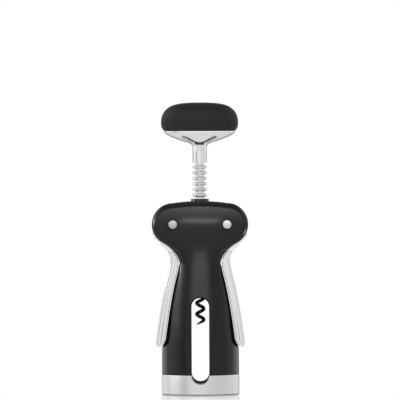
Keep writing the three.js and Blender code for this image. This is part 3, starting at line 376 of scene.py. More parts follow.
# Weak mirror image in the table: share, where it ends, how soft its sides are, and view angles that show it
MIRROR_SHARE = 0.65
MIRROR_REACH = 140.0
MIRROR_FADE = 1.2
MIRROR_GRAZING = (0.8, 0.93)
MIRROR_ROUGHNESS = 0.02

# Lamps, in millimetres, watts and degrees: place, target, width and height, power, spread
LAMPS = {
    "near strip": ((0, -64, 136.8), (0, -13.9, 125.6), (27, 3), 0.00009, 30),
    "upper strip": ((0, -62, 159), (0, -12.4, 134.3), (44, 3), 0.0001, 40),
    "waist strip": ((0, -64, 107.6), (0, -13.9, 97), (20, 7), 0.000036, 24),
    "left rim box": ((-100, -12, 136), (-33.5, -12, 120), (30, 46), 0.0026, 30),
    "right rim box": ((97, -12, 90), (32, -12, 117), (40, 20), 0.00094, 20),
}

# Camera: lens and sensor, aim, roll, and how far it sees in metres
CAMERA_LENS = 572.5
CAMERA_SENSOR = 36
CAMERA_AIM = (0.1, 0, 140.5)
CAMERA_ROLL = math.radians(-0.23)
CAMERA_RANGE = 100
WHITE = (1, 1, 1, 1)
HALF_TURN = 180


# Curves

def along(rows, position):
    """Smooth curve through rows of (position, value), without overshoot."""
    at, value = np.array(rows, float).T
    slope = np.diff(value) / np.diff(at)
    before, after = slope[:-1], slope[1:]
    same_way = before * after > 0
    total = np.where(same_way, before + after, 1)
    inner = np.where(same_way, 2 * before * after / total, 0)
    tangent = np.concatenate(([slope[0]], inner, [slope[-1]]))
    place = np.clip(np.asarray(position, float), at[0], at[-1])
    i = np.clip(np.searchsorted(at, place, side="right") - 1, 0, len(at) - 2)
    span = at[i + 1] - at[i]
    t = (place - at[i]) / span
    rise = value[i + 1] - value[i]
    a = tangent[i] * span - rise
    b = rise - tangent[i + 1] * span
    return value[i] + rise * t + t * (1 - t) * ((1 - t) * a + t * b)


def mix(a, b, share):
    return a + (b - a) * share


def smooth_step(low, high, value):
    t = np.clip((np.asarray(value, float) - low) / (high - low), 0, 1)
    return t * t * (3 - 2 * t)


def spaced(start, end, count):
    """Steps from start towards end, without end itself."""
    return np.linspace(start, end, count, endpoint=False)


# Meshes

def solid(name, vertices, faces):
    """A closed mesh object from points in millimetres, with its faces turned outwards."""
    mesh = bpy.data.meshes.new(name)
    points = np.asarray(vertices, float) * MM
    mesh.from_pydata(points.tolist(), [], faces)
    sculpt = bmesh.new()
    sculpt.from_mesh(mesh)
    bmesh.ops.remove_doubles(sculpt, verts=sculpt.verts, dist=WELD_DISTANCE * MM)
    bmesh.ops.dissolve_degenerate(sculpt, edges=sculpt.edges, dist=SLIVER_SIZE * MM)
    bmesh.ops.recalc_face_normals(sculpt, faces=sculpt.faces)
    sculpt.to_mesh(mesh)
    sculpt.free()
    piece = bpy.data.objects.new(name, mesh)
    bpy.context.scene.collection.objects.link(piece)
    return piece


def loft(name, rings, closed=False):
    """Rings of points joined one after the other, with flat ends, or joined end to end."""
    rings = np.asarray(rings, float)
    count, sides = rings.shape[:2]
    number = np.arange(count * sides).reshape(count, sides)
    low = number if closed else number[:-1]
    high = np.roll(number, -1, axis=0)[:len(low)]
    corners = (low, np.roll(low, -1, axis=1), np.roll(high, -1, axis=1), high)
    faces = np.stack(corners, axis=2).reshape(-1, 4).tolist()
    if not closed:
        faces += [number[0, ::-1].tolist(), number[-1].tolist()]
    return solid(name, rings.reshape(-1, 3), faces)


def oval(half_width, half_depth, z, sides=ROUND_SIDES):
    turn = spaced(0, 2 * math.pi, sides)
    return np.column_stack((half_width * np.cos(turn), half_depth * np.sin(turn), np.full(sides, z)))


def turned(name, points, sides=ROUND_SIDES, closed=False):
    """A turned solid about the upright axis from (radius, height) points."""
    return loft(name, [oval(radius, radius, height, sides) for radius, height in points], closed)


def rod(name, radius, foot, top, sides=ROUND_SIDES):
    return turned(name, [(radius, foot), (radius, top)], sides)


def reshaped(piece, moved):
    """Moves every corner of a piece, by a function of its x, y and z in metres."""
    for vertex in piece.data.vertices:
        vertex.co = moved(*vertex.co)
    return piece


def shifted(piece, across, depth):
    return reshaped(piece, lambda x, y, z: (x + across * MM, y + depth * MM, z))


def spun(piece, turn):
    """Turns a piece about the upright axis."""
    cos, sin = math.cos(turn), math.sin(turn)
    return reshaped(piece, lambda x, y, z: (x * cos - y * sin, x * sin + y * cos, z))


def lay_down(piece, across, height):
    """Turns an upright solid to lie along the pivots' front-to-back axis."""
    return reshaped(piece, lambda x, y, z: (x + across * MM, z, height * MM - y))


def cross_rod(name, radius, y0, y1, x, z, sides=SMALL_SIDES):
    return lay_down(rod(name, radius, y0, y1, sides), x, z)


def plate(name, points, y0, y1):
    """A plate from an outline of (x, z) points, from y0 to y1."""
    return loft(name, [[(x, y, z) for x, z in points] for y in (y0, y1)])


def block(name, x0, x1, y0, y1, z0, z1):
    return plate(name, [(x0, z0), (x1, z0), (x1, z1), (x0, z1)], y0, y1)


def combine(piece, others, operation):
    """Cuts, joins or crosses a piece with others, which are used up."""
    for other in others:
        step = piece.modifiers.new("combine", "BOOLEAN")
        step.operation = operation
        step.solver = "MANIFOLD"
        step.object = other
        graph = bpy.context.evaluated_depsgraph_get()
        shaped = bpy.data.meshes.new_from_object(piece.evaluated_get(graph))
        piece.modifiers.remove(step)
        spent = piece.data
        piece.data = shaped
        bpy.data.meshes.remove(spent)
        bpy.data.objects.remove(other)
    return piece


def carve(piece, *cutters):
    return combine(piece, cutters, "DIFFERENCE")


def join(piece, *others):
    return combine(piece, others, "UNION")


def mirrored(piece, name, x=1, y=1):
    """A copy mirrored across a middle plane: x or y is -1."""
    copy = piece.copy()
    copy.data = piece.data.copy()
    copy.data.flip_normals()
    copy.name = name
    bpy.context.scene.collection.objects.link(copy)
    return reshaped(copy, lambda across, depth, up: (across * x, depth * y, up))


def dress(piece, name, material, body, nodes):
    """Smooth shading with crisp edges, a material, and the place of the piece in the model."""
    piece.name = name
    piece.data.name = name
    piece.data.materials.clear()
    piece.data.materials.append(material)
    bpy.context.view_layer.objects.active = piece
    piece.select_set(True)
    bpy.ops.object.shade_smooth_by_angle(angle=SHARP_ANGLE)
    piece.select_set(False)
    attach(piece, body)
    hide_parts(*nodes)
    return piece


# Outline of the body, as a half-width at each height

def lobe_at(z):
    return PIVOT_X + np.sqrt(np.maximum(LOBE_RADIUS ** 2 - (z - PIVOT_HEIGHT) ** 2, 0))


def hook_at(z):
    rise = np.clip((BAY_CORNER_TOP - z) / BAY_CORNER, 0, 1)
    return BAY_HOOK * rise ** HOOK_POWER


def outline_at(z):
    """The line that the levers lie along, and the lobes and arch of the head above it."""
    z = np.asarray(z, float)
    share = along(FLANK_SHARES, (z - BAY_FOOT) / (WAIST_HEIGHT - BAY_FOOT))
    flank = mix(WAIST_HALF_WIDTH, BAY_HALF_WIDTH, share) + hook_at(z)
    rise = np.clip((z - WAIST_HEIGHT) / (FILLET_TOP - WAIST_HEIGHT), 0, 1)
    fillet = mix(WAIST_HALF_WIDTH, lobe_at(FILLET_TOP), rise ** FILLET_POWER)
    arch = PIVOT_X * np.sqrt(np.clip((HEAD_TOP - z) / (HEAD_TOP - LOBE_TOP), 0, 1))
    above = np.where(z < FILLET_TOP, fillet, np.where(z < LOBE_TOP, lobe_at(z), arch))
    return np.where(z < WAIST_HEIGHT, flank, above)


def column_at(z):
    """Half-depth, half-width and roundness of the lower body, as if the lever bays were not there."""
    rise = np.clip((np.asarray(z, float) - BODY_FOOT) / (NECK_TOP - BODY_FOOT), 0, 1)
    half_depth = mix(HEAD_HALF_DEPTH, SKIRT_RADIUS, along(DEPTH_SHARES, rise))
    half_width = mix(WAIST_FULL_HALF_WIDTH, SKIRT_RADIUS, along(WIDTH_SHARES, rise))
    return half_depth, half_width, mix(ROUND_EXPONENT, WAIST_EXPONENT, rise)


def rim_step(z):
    rise = (np.asarray(z, float) - BAY_FOOT) / (WAIST_HEIGHT - BAY_FOOT)
    fade = 1 - smooth_step(WAIST_HEIGHT, FILLET_TOP, z)
    return RIM_STEP * along(RIM_SHARES, rise) * fade


def cover_half_width(z):
    """Half-width of the covers: they stop short of the levers by a step that narrows to the waist."""
    z = np.asarray(z, float)
    corner_rim = outline_at(BAY_CORNER_TOP) - rim_step(BAY_CORNER_TOP)
    drop = np.clip((BAY_CORNER_TOP - z) / BAY_CORNER, 0, 1)
    corner = mix(corner_rim, column_at(BAY_FOOT)[1], drop ** 2)
    above = np.where(z >= BAY_CORNER_TOP, outline_at(z) - rim_step(z), corner)
    return np.where(z <= BAY_FOOT, column_at(z)[1], above)


def cover_heights():
    """Heights of the rows of the covers, closer together where the outline turns."""
    start = math.asin((FILLET_TOP - PIVOT_HEIGHT) / LOBE_RADIUS)
    return np.concatenate((
        spaced(BODY_FOOT, BAY_FOOT, SKIRT_ROWS),
        BAY_CORNER_TOP - BAY_CORNER * np.sin(spaced(math.pi / 2, 0, CORNER_ROWS)),
        spaced(BAY_CORNER_TOP, WAIST_HEIGHT, FLANK_ROWS),
        spaced(WAIST_HEIGHT, FILLET_TOP, FILLET_ROWS),
        PIVOT_HEIGHT + LOBE_RADIUS * np.sin(spaced(start, math.pi / 2, LOBE_ROWS)),
        HEAD_TOP - (HEAD_TOP - LOBE_TOP) * np.linspace(1, ARCH_END_SHARE, ARCH_ROWS) ** 2,
    ))


def distance_to_outline(x, z):
    """Distance from points of the head to its outline."""
    heights = cover_heights()
    heights = heights[heights >= WAIST_HEIGHT]
    line = np.column_stack((cover_half_width(heights), heights))
    start, side = line[:-1], np.diff(line, axis=0)
    point = np.column_stack((np.abs(x).ravel(), z.ravel()))
    nearest = np.full(len(point), np.inf)
    for corner, run in zip(start, side):
        reach = np.clip((point - corner) @ run / (run @ run), 0, 1)
        foot = corner + reach[:, None] * run
        nearest = np.minimum(nearest, np.hypot(*(point - foot).T))
    return nearest.reshape(x.shape)


def cover_half_depth(x, z):
    """Half-depth of the covers: a round column that becomes a flat, bevelled head."""
    half_depth, half_width, exponent = column_at(z)
    across = np.clip(np.abs(x) / np.maximum(half_width, cover_half_width(z)), 0, 1)
    column = half_depth * (1 - across ** exponent) ** (1 / exponent)
    lean = np.maximum((z - HEAD_TOP + FACE_LEAN_HEIGHT) / FACE_LEAN_HEIGHT, 0)
    fall = 1 - distance_to_outline(x, z) / BEVEL_WIDTH
    bevel = np.clip((fall + np.sqrt(fall ** 2 + CREASE_ROUND ** 2)) / 2, 0, 1)
    bow = 1 - np.sqrt(1 - bevel ** 2)
    face = HEAD_HALF_DEPTH - FACE_LEAN * lean ** 2
    head = face - BEVEL_SLOPE_DEPTH * bevel - BEVEL_BOW_DEPTH * bow
    blended = mix(column, head, smooth_step(WAIST_HEIGHT, FILLET_TOP, z))
    depth = np.where(z < WAIST_HEIGHT, blended, np.maximum(blended, COVER_INNER + COVER_EDGE))
    return np.where(z <= BAY_FOOT, column, depth)


def cover_blank():
    """Front half of the body's full shape, flat on its back at y = 0."""
    heights = cover_heights()
    z = heights[:, None]
    rounding = EDGE_ROUND * smooth_step(BAY_FOOT, BAY_CORNER_TOP, z)
    half_width = cover_half_width(z)
    face = (half_width - rounding) * np.sin(np.linspace(-math.pi / 2, math.pi / 2, COVER_COLUMNS))
    depth = cover_half_depth(face, z * np.ones_like(face))
    turn = np.linspace(0, math.pi / 2, EDGE_STEPS + 1)[1:]
    out = half_width - rounding + rounding * np.sin(turn)
    back = depth[:, -1:] - rounding * (1 - np.cos(turn))
    x = np.concatenate((-half_width, -out[:, ::-1], face, out, half_width), axis=1)
    y = np.concatenate((0 * z, -back[:, ::-1], -depth, -back, 0 * z), axis=1)
    return loft("cover", np.stack((x, y, z * np.ones_like(x)), axis=2))


# Cutters shared by the pieces that they line up

def bottle_bore():
    return turned("bore", [
        (NECK_BORE_RADIUS, -OVERRUN), (NECK_BORE_RADIUS, LIP_SEAT_HEIGHT),
        (CHAMBER_RADIUS, LIP_SEAT_HEIGHT), (CHAMBER_RADIUS, CHAMBER_TOP),
    ])


def window_line(grow=0.0):
    """Outline of the sight window as (x, z) points, grown outwards."""
    turn = np.linspace(0, math.pi, WINDOW_ARC_SIDES)
    radius = WINDOW_HALF_WIDTH + grow
    high, low = WINDOW_TOP - WINDOW_HALF_WIDTH, WINDOW_BOTTOM + WINDOW_HALF_WIDTH
    top = np.column_stack((radius * np.cos(turn), high + radius * np.sin(turn)))
    straight = np.linspace(high, low, WINDOW_ROWS + 2)[1:-1]
    left = np.column_stack((np.full(WINDOW_ROWS, -radius), straight))
    half = np.concatenate((top, left))
    return np.concatenate((half, (0, high + low) - half))


def sight_window():
    reach = RING_RADIUS + OVERRUN
    return plate("window", window_line(), -reach, reach)


def window_flare(flare, depth_at):
    """Cutter that chamfers the window's edge along a surface whose half-depth is given."""
    base = window_line()
    depth = depth_at(base[:, 0], base[:, 1])
    rings = []
    for grow, out in ((2 * flare, flare), (0, -flare), (0, -depth)):
        line = window_line(grow)
        rings.append(np.column_stack((line[:, 0], -(depth + out), line[:, 1])))
    return loft("flare", rings)


def pin_holes():
    reach = HEAD_HALF_DEPTH + OVERRUN
    return [cross_rod("hole", PIN_BORE_RADIUS, -reach, reach, x, PIVOT_HEIGHT) for x in (-PIVOT_X, PIVOT_X)]


def slot_block(side, y0, y1, z0, z1):
    """Block that reaches from the bridge in the middle of the head past one side of it."""
    inner, outer = sorted((side * BRIDGE_HALF_WIDTH, side * SIDE_REACH))
    return block("slot", inner, outer, y0, y1, z0, z1)


# Body

PIN_FACE = float(cover_half_depth(np.array([[PIVOT_X]]), np.array([[PIVOT_HEIGHT]]))[0, 0])
PIN_SEAT = PIN_FACE - PIN_HEAD_HEIGHT


def shape_cover():
    """Front cover: shaped blank with its pocket, bores, window and pin recesses."""
    cutters = [
        bottle_bore(),
        sight_window(),
        window_flare(WINDOW_FLARE, cover_half_depth),
        rod("spigot room", SPIGOT_RADIUS + CLEAR, 0, CARRIER_HEIGHT + CLEAR),
        block("pocket", -SIDE_REACH, SIDE_REACH, -COVER_INNER, OVERRUN, CASTING_FOOT - CLEAR, LIP_FOOT),
        rod("collar hole", BUSH_RADIUS + CLEAR, LIP_FOOT - OVERRUN, HEAD_TOP + OVERRUN),
        *pin_holes(),
    ]
    for side in (-1, 1):
        cutters.append(slot_block(side, -COVER_INNER, OVERRUN, LIP_FOOT - OVERRUN, HEAD_TOP + OVERRUN))
        recess = turned("recess", [
            (PIN_RECESS_RADIUS + 3 * PIN_RECESS_FLARE, -PIN_FACE - 2 * PIN_RECESS_FLARE),
            (PIN_RECESS_RADIUS, -PIN_FACE + PIN_RECESS_FLARE), (PIN_RECESS_RADIUS, -PIN_SEAT),
        ], SMALL_SIDES)
        cutters.append(lay_down(recess, side * PIVOT_X, PIVOT_HEIGHT))
    return carve(cover_blank(), *cutters)


def lever_slot(side):
    """Room that one lever's hub, blade and shoulder turn in."""
    span = (-SLOT_HALF_WIDTH, SLOT_HALF_WIDTH)
    foot = BLADE_FOOT - BLADE_GAP
    line = [
        (float(outline_at(BLADE_FOOT)) + ARM_GAP - BLADE_GAP, foot), (SIDE_REACH, foot),
        (SIDE_REACH, PIVOT_HEIGHT), (PIVOT_X, PIVOT_HEIGHT), (BLADE_CORNER[0] - BLADE_GAP, BLADE_CORNER[1]),
    ]
    return [
        cross_rod("gear room", GEAR_SLOT_RADIUS, *span, side * PIVOT_X, PIVOT_HEIGHT, ROUND_SIDES),
        plate("opening", [(side * x, z) for x, z in line], *span),
        slot_block(side, *span, PIVOT_HEIGHT, HEAD_TOP),
    ]


def shape_casting():
    inside = [z for z in cover_heights() if CASTING_FOOT < z < CASTING_TOP]
    heights = np.array([CASTING_FOOT, *inside, CASTING_TOP])
    inset = CASTING_INSET * smooth_step(WAIST_HEIGHT - ARM_GAP, WAIST_HEIGHT, heights)
    right = np.column_stack((outline_at(heights) - inset, heights))
    line = np.concatenate((right, right[::-1] * (-1, 1)))
    return carve(
        plate("casting", line, -CASTING_HALF_DEPTH, CASTING_HALF_DEPTH), bottle_bore(),
        rod("rack bore", RACK_BORE_RADIUS, CHAMBER_TOP - OVERRUN, HEAD_TOP),
        rod("bush seat", BUSH_FLANGE_RADIUS + CLEAR, BUSH_FOOT - CLEAR, HEAD_TOP),
        *lever_slot(-1), *lever_slot(1), *pin_holes(),
    )


def shape_pin(side):
    """Riveted pivot pin with a domed head at each end."""
    shank = PIN_SEAT + CLEAR
    turns = np.linspace(0, math.pi / 2, DOME_STEPS)
    edge = PIN_FACE - PIN_DOME / 2
    crown = [(PIN_HEAD_RADIUS * math.cos(t), edge + PIN_DOME * math.sin(t)) for t in turns]
    upper = [(PIN_RADIUS, shank), (PIN_HEAD_RADIUS, shank)] + crown
    lower = [(radius, -height) for radius, height in upper][::-1]
    return lay_down(turned("pin", lower + upper, SMALL_SIDES), side * PIVOT_X, PIVOT_HEIGHT)


def rounded(edge, radius, height):
    """Quarter round at the upper edge of a turned piece, from the side wall to the end face."""
    turns = np.linspace(0, math.pi / 2, ROUND_STEPS)
    return [(radius - edge * (1 - math.cos(t)), height + edge * (math.sin(t) - 1)) for t in turns]


def shape_collar():
    flange_top = BUSH_FOOT + BUSH_FLANGE_HEIGHT
    return turned("collar", [
        (RACK_BORE_RADIUS, BUSH_FOOT), (BUSH_FLANGE_RADIUS, BUSH_FOOT), (BUSH_FLANGE_RADIUS, flange_top),
        (BUSH_RADIUS, flange_top), *rounded(BUSH_EDGE, BUSH_RADIUS, BUSH_TOP), (RACK_BORE_RADIUS, BUSH_TOP),
    ], closed=True)


# Levers, drawn for the right-hand side

def arm_inner(z):
    return outline_at(z) + ARM_GAP


def arm_outer(z):
    start = WAIST_HEIGHT - ARM_THICKNESS / 2
    share = along(ARM_THINNING_SHARES, (np.asarray(z, float) - start) / (ARM_TOP - start))
    return outline_at(z) - hook_at(z) + ARM_GAP + mix(ARM_NECK_THICKNESS, ARM_THICKNESS, share)


def arm_ring(z, back=0.0):
    """Section of the arm: a bar with a shallow cove and bowed outer bevels, set back at its tip."""
    inner = float(arm_inner(z)) + back * ARM_HEEL_SHARE
    outer = float(arm_outer(z)) - back * (1 - ARM_HEEL_SHARE)
    bevel = ARM_BEVEL_SHARE * (outer - inner)
    near, far = inner + ARM_EDGE, outer - bevel
    turn = np.linspace(ARM_BEVEL_START, math.pi / 2, ARM_BEVEL_STEPS)
    bow = (np.sin(turn) - math.sin(ARM_BEVEL_START)) / (1 - math.sin(ARM_BEVEL_START))
    drop = (math.cos(ARM_BEVEL_START) - np.cos(turn)) / math.cos(ARM_BEVEL_START)
    front = [(far + bevel * b, -ARM_HALF_WIDTH + ARM_BEVEL_DEPTH * d) for b, d in zip(bow, drop)]
    across = np.linspace(0, 1, ARM_COVE_STEPS)
    sink = ARM_COVE_SHARE * (far - near) * np.sin(math.pi * across) ** 2
    cove = [(mix(near, far, a), -ARM_HALF_WIDTH + d) for a, d in zip(across[:-1], sink)]
    half = [(inner, -ARM_HALF_WIDTH + ARM_EDGE), *cove, *front]
    return [(x, y, z) for x, y in half] + [(x, -y, z) for x, y in half[::-1]]


def shape_arm():
    rings = []
    for turn in spaced(0, math.pi / 2, ARM_TIP_STEPS):
        z = ARM_TIP + ARM_TIP_ROUND * (1 - math.cos(turn))
        rings.append(arm_ring(z, ARM_TIP_ROUND * (1 - math.sin(turn))))
    rings.extend(arm_ring(z) for z in np.linspace(ARM_TIP + ARM_TIP_ROUND, ARM_TOP, ARM_ROWS))
    return loft("arm", rings)


def hub_line():
    """Hub outline with its toothed sector, from the inward side over the top."""
    tooth_line = (
        (HUB_RADIUS, -TOOTH_ROOT_HALF_WIDTH), (TOOTH_TIP_RADIUS, -TOOTH_TIP_HALF_WIDTH),
        (TOOTH_TIP_RADIUS, TOOTH_TIP_HALF_WIDTH), (HUB_RADIUS, TOOTH_ROOT_HALF_WIDTH),
    )
    corners = [(TOOTH_PHASE + tooth * TOOTH_STEP, *end) for tooth in range(TEETH_CUT) for end in tooth_line]
    plain_start = TOOTH_PHASE + TEETH_CUT * TOOTH_STEP
    plain_end = TOOTH_PHASE + 2 * math.pi - TOOTH_STEP
    corners.extend((turn, HUB_RADIUS, 0) for turn in spaced(plain_start, plain_end, SMALL_SIDES))
    return [
        (PIVOT_X + (-math.cos(turn) * radius + math.sin(turn) * offset),
         PIVOT_HEIGHT + (math.sin(turn) * radius + math.cos(turn) * offset))
        for turn, radius, offset in corners
    ]


def blade_line():
    """Outline of the thin blade with its shoulder."""
    points = [(PIVOT_X, PIVOT_HEIGHT)]
    for turn in np.linspace(SHOULDER_END_ANGLE, SHOULDER_FOOT_ANGLE, SHOULDER_STEPS):
        share = (turn - SHOULDER_FOOT_ANGLE) / (SHOULDER_END_ANGLE - SHOULDER_FOOT_ANGLE)
        step = mix(SHOULDER_FOOT_STEP, SHOULDER_END_STEP, share) * (1 - share ** SHOULDER_POWER)
        radius = LOBE_RADIUS + step
        points.append((PIVOT_X + radius * math.sin(turn), PIVOT_HEIGHT - radius * math.cos(turn)))
    foot_radius = LOBE_RADIUS + SHOULDER_FOOT_STEP
    neck_top = PIVOT_HEIGHT - foot_radius * math.cos(SHOULDER_FOOT_ANGLE) - SHOULDER_RUN
    for z in spaced(neck_top, WAIST_HEIGHT, SHOULDER_ROWS):
        inset = ARM_EDGE if z <= ARM_TOP else 0
        points.append((float(arm_outer(z)) - inset, z))
    neck = float(arm_inner(WAIST_HEIGHT)) + ARM_NECK_THICKNESS / 2
    return [*points, (neck, WAIST_HEIGHT), (float(arm_inner(BLADE_FOOT)), BLADE_FOOT), BLADE_CORNER]


def shape_lever():
    hub = plate("hub", hub_line(), -HUB_HALF_WIDTH, HUB_HALF_WIDTH)
    blade = plate("blade", blade_line(), -HUB_HALF_WIDTH, HUB_HALF_WIDTH)
    reach = HUB_HALF_WIDTH + OVERRUN
    piece = join(shape_arm(), hub, blade)
    return carve(piece, cross_rod("bore", PIN_BORE_RADIUS, -reach, reach, PIVOT_X, PIVOT_HEIGHT))


# Spindle

def shape_rack():
    """Ring-toothed rack with its plain foot and the stud for the knob."""
    plain_top = RACK_FIRST_RING - RACK_PITCH / 2
    points = [(0, RACK_FOOT), (RACK_PLAIN_RADIUS, RACK_FOOT), (RACK_PLAIN_RADIUS, plain_top)]
    for ring in range(RACK_RING_COUNT):
        height = RACK_FIRST_RING + ring * RACK_PITCH
        for side in (-1, 1):
            land = height + side * RACK_LAND / 2
            flank = [
                (RACK_ROOT_RADIUS, height + side * RACK_RING_BASE / 2),
                (RACK_RADIUS - RACK_EDGE, land + side * RACK_EDGE / 2),
                (RACK_RADIUS, land - side * RACK_EDGE),
            ]
            points.extend(flank[::-side])
    seat = NECK_FOOT - CLEAR
    points.extend([(RACK_ROOT_RADIUS, seat), (STUD_RADIUS, seat), (STUD_RADIUS, FLARE_TOP), (0, FLARE_TOP)])
    return turned("rack", points)


def shape_worm():
    """Right-handed coil from its point up to the shank."""
    rise = RACK_FOOT - WORM_SHANK_DROP + WORM_WIRE_RADIUS - WORM_TIP_HEIGHT
    height = np.linspace(0, rise, int(COIL_STEPS_PER_TURN * rise / WORM_PITCH))
    turn = math.pi + 2 * math.pi * height / WORM_PITCH
    coil = WORM_COIL_RADIUS * mix(WORM_ROOT_SHARE, 1, smooth_step(0, 1, (rise - height) / (WORM_PITCH / 2)))
    centre = np.column_stack((coil * np.cos(turn), coil * np.sin(turn), WORM_TIP_HEIGHT + height))
    run = np.gradient(centre, axis=0)
    run /= np.linalg.norm(run, axis=1)[:, None]
    side = np.cross((0, 0, 1), run)
    side /= np.linalg.norm(side, axis=1)[:, None]
    lift = np.cross(run, side)
    growth = np.sin(np.clip(height / WORM_TIP_LENGTH, 0, 1) * math.pi / 2)
    wire = WORM_WIRE_RADIUS * mix(WORM_POINT_SHARE, 1, growth)
    around = spaced(0, 2 * math.pi, WIRE_SIDES)[None, :, None]
    circle = side[:, None] * np.cos(around) + lift[:, None] * np.sin(around)
    coiled = loft("worm", centre[:, None] + wire[:, None, None] * circle)
    foot, top = RACK_FOOT - WORM_SHANK_DROP, RACK_FOOT + WORM_SHANK_DROP
    return join(coiled, rod("shank", WORM_SHANK_RADIUS, foot, top, SMALL_SIDES))


# Knob

def shape_flare():
    """Polished knob base: a smooth neck that flares into the rim under the grip."""
    half_depth = FLARE_HALF_WIDTH * KNOB_DEPTH_SHARE
    rings = [oval(NECK_RADIUS, NECK_RADIUS, NECK_FOOT)]
    for rise in np.linspace(0, 1, FLARE_ROWS):
        across = mix(NECK_RADIUS, FLARE_HALF_WIDTH, float(along(FLARE_SHARES, rise)))
        front = mix(NECK_RADIUS, half_depth, float(along(FLARE_FRONT_SHARES, rise)))
        rings.append(oval(across, front, mix(NECK_HEAD, FLARE_TOP - FLARE_LIP, rise)))
    rings.append(oval(FLARE_HALF_WIDTH, half_depth, FLARE_TOP))
    return loft("flare", rings)


def shape_grip():
    rings = []
    for rise in 1 - np.linspace(1, 0, GRIP_ROWS) ** GRIP_ROW_POWER:
        reach = GRIP_HALF_WIDTH * float(along(GRIP_SHARES, rise))
        rings.append(oval(reach, reach * KNOB_DEPTH_SHARE, mix(GRIP_FOOT, GRIP_TOP, rise)))
    return loft("grip", rings)


# Foil cutter

def ring_depth(x, _):
    return np.sqrt(RING_RADIUS ** 2 - x ** 2)


def cutter_places():
    """Turn about the upright axis and (x, y) place of each cutter wheel."""
    for number in range(CUTTER_COUNT):
        turn = 2 * math.pi * (number + 0.5) / CUTTER_COUNT
        yield turn, (CUTTER_ORBIT * math.cos(turn), CUTTER_ORBIT * math.sin(turn))


def shape_ring():
    inner = RING_RADIUS - RING_WALL
    turns = np.linspace(0, math.pi / 2, RING_EDGE_STEPS)
    foot = [(RING_RADIUS - RING_EDGE * (1 - math.sin(t)), RING_EDGE * (1 - math.cos(t))) for t in turns]
    top = rounded(RING_TOP_EDGE, RING_RADIUS, RING_HEIGHT)
    piece = turned("ring", [(inner, 0), *foot, *top, (inner, RING_HEIGHT)], 2 * ROUND_SIDES, closed=True)
    flare = window_flare(NOTCH_FLARE, ring_depth)
    return carve(piece, sight_window(), mirrored(flare, "rear flare", y=-1), flare)


def shape_carrier():
    piece = turned("carrier", [
        (NECK_BORE_RADIUS, 0), (CARRIER_RADIUS, 0), (CARRIER_RADIUS, RING_HEIGHT),
        (SPIGOT_RADIUS, RING_HEIGHT), (SPIGOT_RADIUS, CARRIER_HEIGHT), (NECK_BORE_RADIUS, CARRIER_HEIGHT),
    ], 2 * ROUND_SIDES, closed=True)
    room = CUTTER_RADIUS + CLEAR
    low, high = DISC_LOW[2] - CLEAR, DISC_HIGH[2] + CLEAR
    cutters = [sight_window()]
    for turn, place in cutter_places():
        mouth = block("mouth", 0, CUTTER_ORBIT, -room, room, low, high)
        well = rod("well", room, low, high, SMALL_SIDES)
        hole = rod("axle room", AXLE_RADIUS + CLEAR, -OVERRUN, AXLE_HIGH[2] + CLEAR, SMALL_SIDES)
        cutters.extend([spun(mouth, turn), shifted(well, *place), shifted(hole, *place)])
    return carve(piece, *cutters)


def shape_disc():
    middle = (DISC_LOW[2] + DISC_HIGH[2]) / 2
    half = CUTTER_THICKNESS / 2
    bore = AXLE_RADIUS + CLEAR
    shoulder = CUTTER_RADIUS - CUTTER_BEVEL
    return turned("disc", [
        (bore, middle - half), (shoulder, middle - half), (CUTTER_RADIUS, middle),
        (shoulder, middle + half), (bore, middle + half),
    ], SMALL_SIDES, closed=True)


# Shader trees

def set_sockets(made, sockets):
    """Sets sockets of a node to values, or links them to outputs of other nodes."""
    for name, value in sockets.items():
        if isinstance(value, bpy.types.NodeSocket):
            made.id_data.links.new(value, made.inputs[name])
        else:
            made.inputs[name].default_value = value


def node(tree, kind, sockets, **settings):
    made = tree.nodes.new(f"ShaderNode{kind}")
    for name, value in settings.items():
        setattr(made, name, value)
    set_sockets(made, sockets)
    return made.outputs


def calc(tree, operation, *values):
    return node(tree, "Math", dict(enumerate(values)), operation=operation)[0]


def product(tree, first, second):
    return calc(tree, "MULTIPLY", first, second)


def vector_product(tree, first, second):
    return node(tree, "VectorMath", {0: first, 1: second}, operation="MULTIPLY")["Vector"]


def mixed(tree, share, first, second):
    return node(tree, "Mix", {0: share, 2: first, 3: second}, data_type="FLOAT")[0]


def shader_mix(tree, share, first, second):
    return node(tree, "MixShader", {0: share, 1: first, 2: second})[0]


def ranged(tree, value, low, high, start, end, interpolation="SMOOTHSTEP"):
    """A value turned from one range into another, softly unless told otherwise."""
    sockets = {"Value": value, "From Min": low, "From Max": high, "To Min": start, "To Max": end}
    return node(tree, "MapRange", sockets, interpolation_type=interpolation)["Result"]


def group(tree, name, sockets):
    """Outputs of a node that uses a shader group, which is built when it is first asked for."""
    made = bpy.data.node_groups.get(name)
    if made is None:
        made = bpy.data.node_groups.new(name, "ShaderNodeTree")
        SHADER_GROUPS[name](made)
    return node(tree, "Group", sockets, node_tree=made)


def add_socket(tree, way, name, is_vector):
    kind = "NodeSocketVector" if is_vector else "NodeSocketFloat"
    return tree.interface.new_socket(name=name, in_out=way, socket_type=kind)


def group_entry(tree, defaults):
    for name, value in defaults.items():
        add_socket(tree, "INPUT", name, isinstance(value, tuple)).default_value = value
    return tree.nodes.new("NodeGroupInput").outputs


def group_exit(tree, values):
    for name, value in values.items():
        add_socket(tree, "OUTPUT", name, value.type == "VECTOR")
    set_sockets(tree.nodes.new("NodeGroupOutput"), values)


def emptied(owner):
    """The node tree of a new material or world, without nodes."""
    owner.use_nodes = True
    owner.node_tree.nodes.clear()
    return owner.node_tree


# Materials

def noise(tree, vector, scale, detail, roughness):
    sockets = {"Vector": vector, "Scale": scale, "Detail": detail, "Roughness": roughness}
    return node(tree, "TexNoise", sockets)["Fac"]


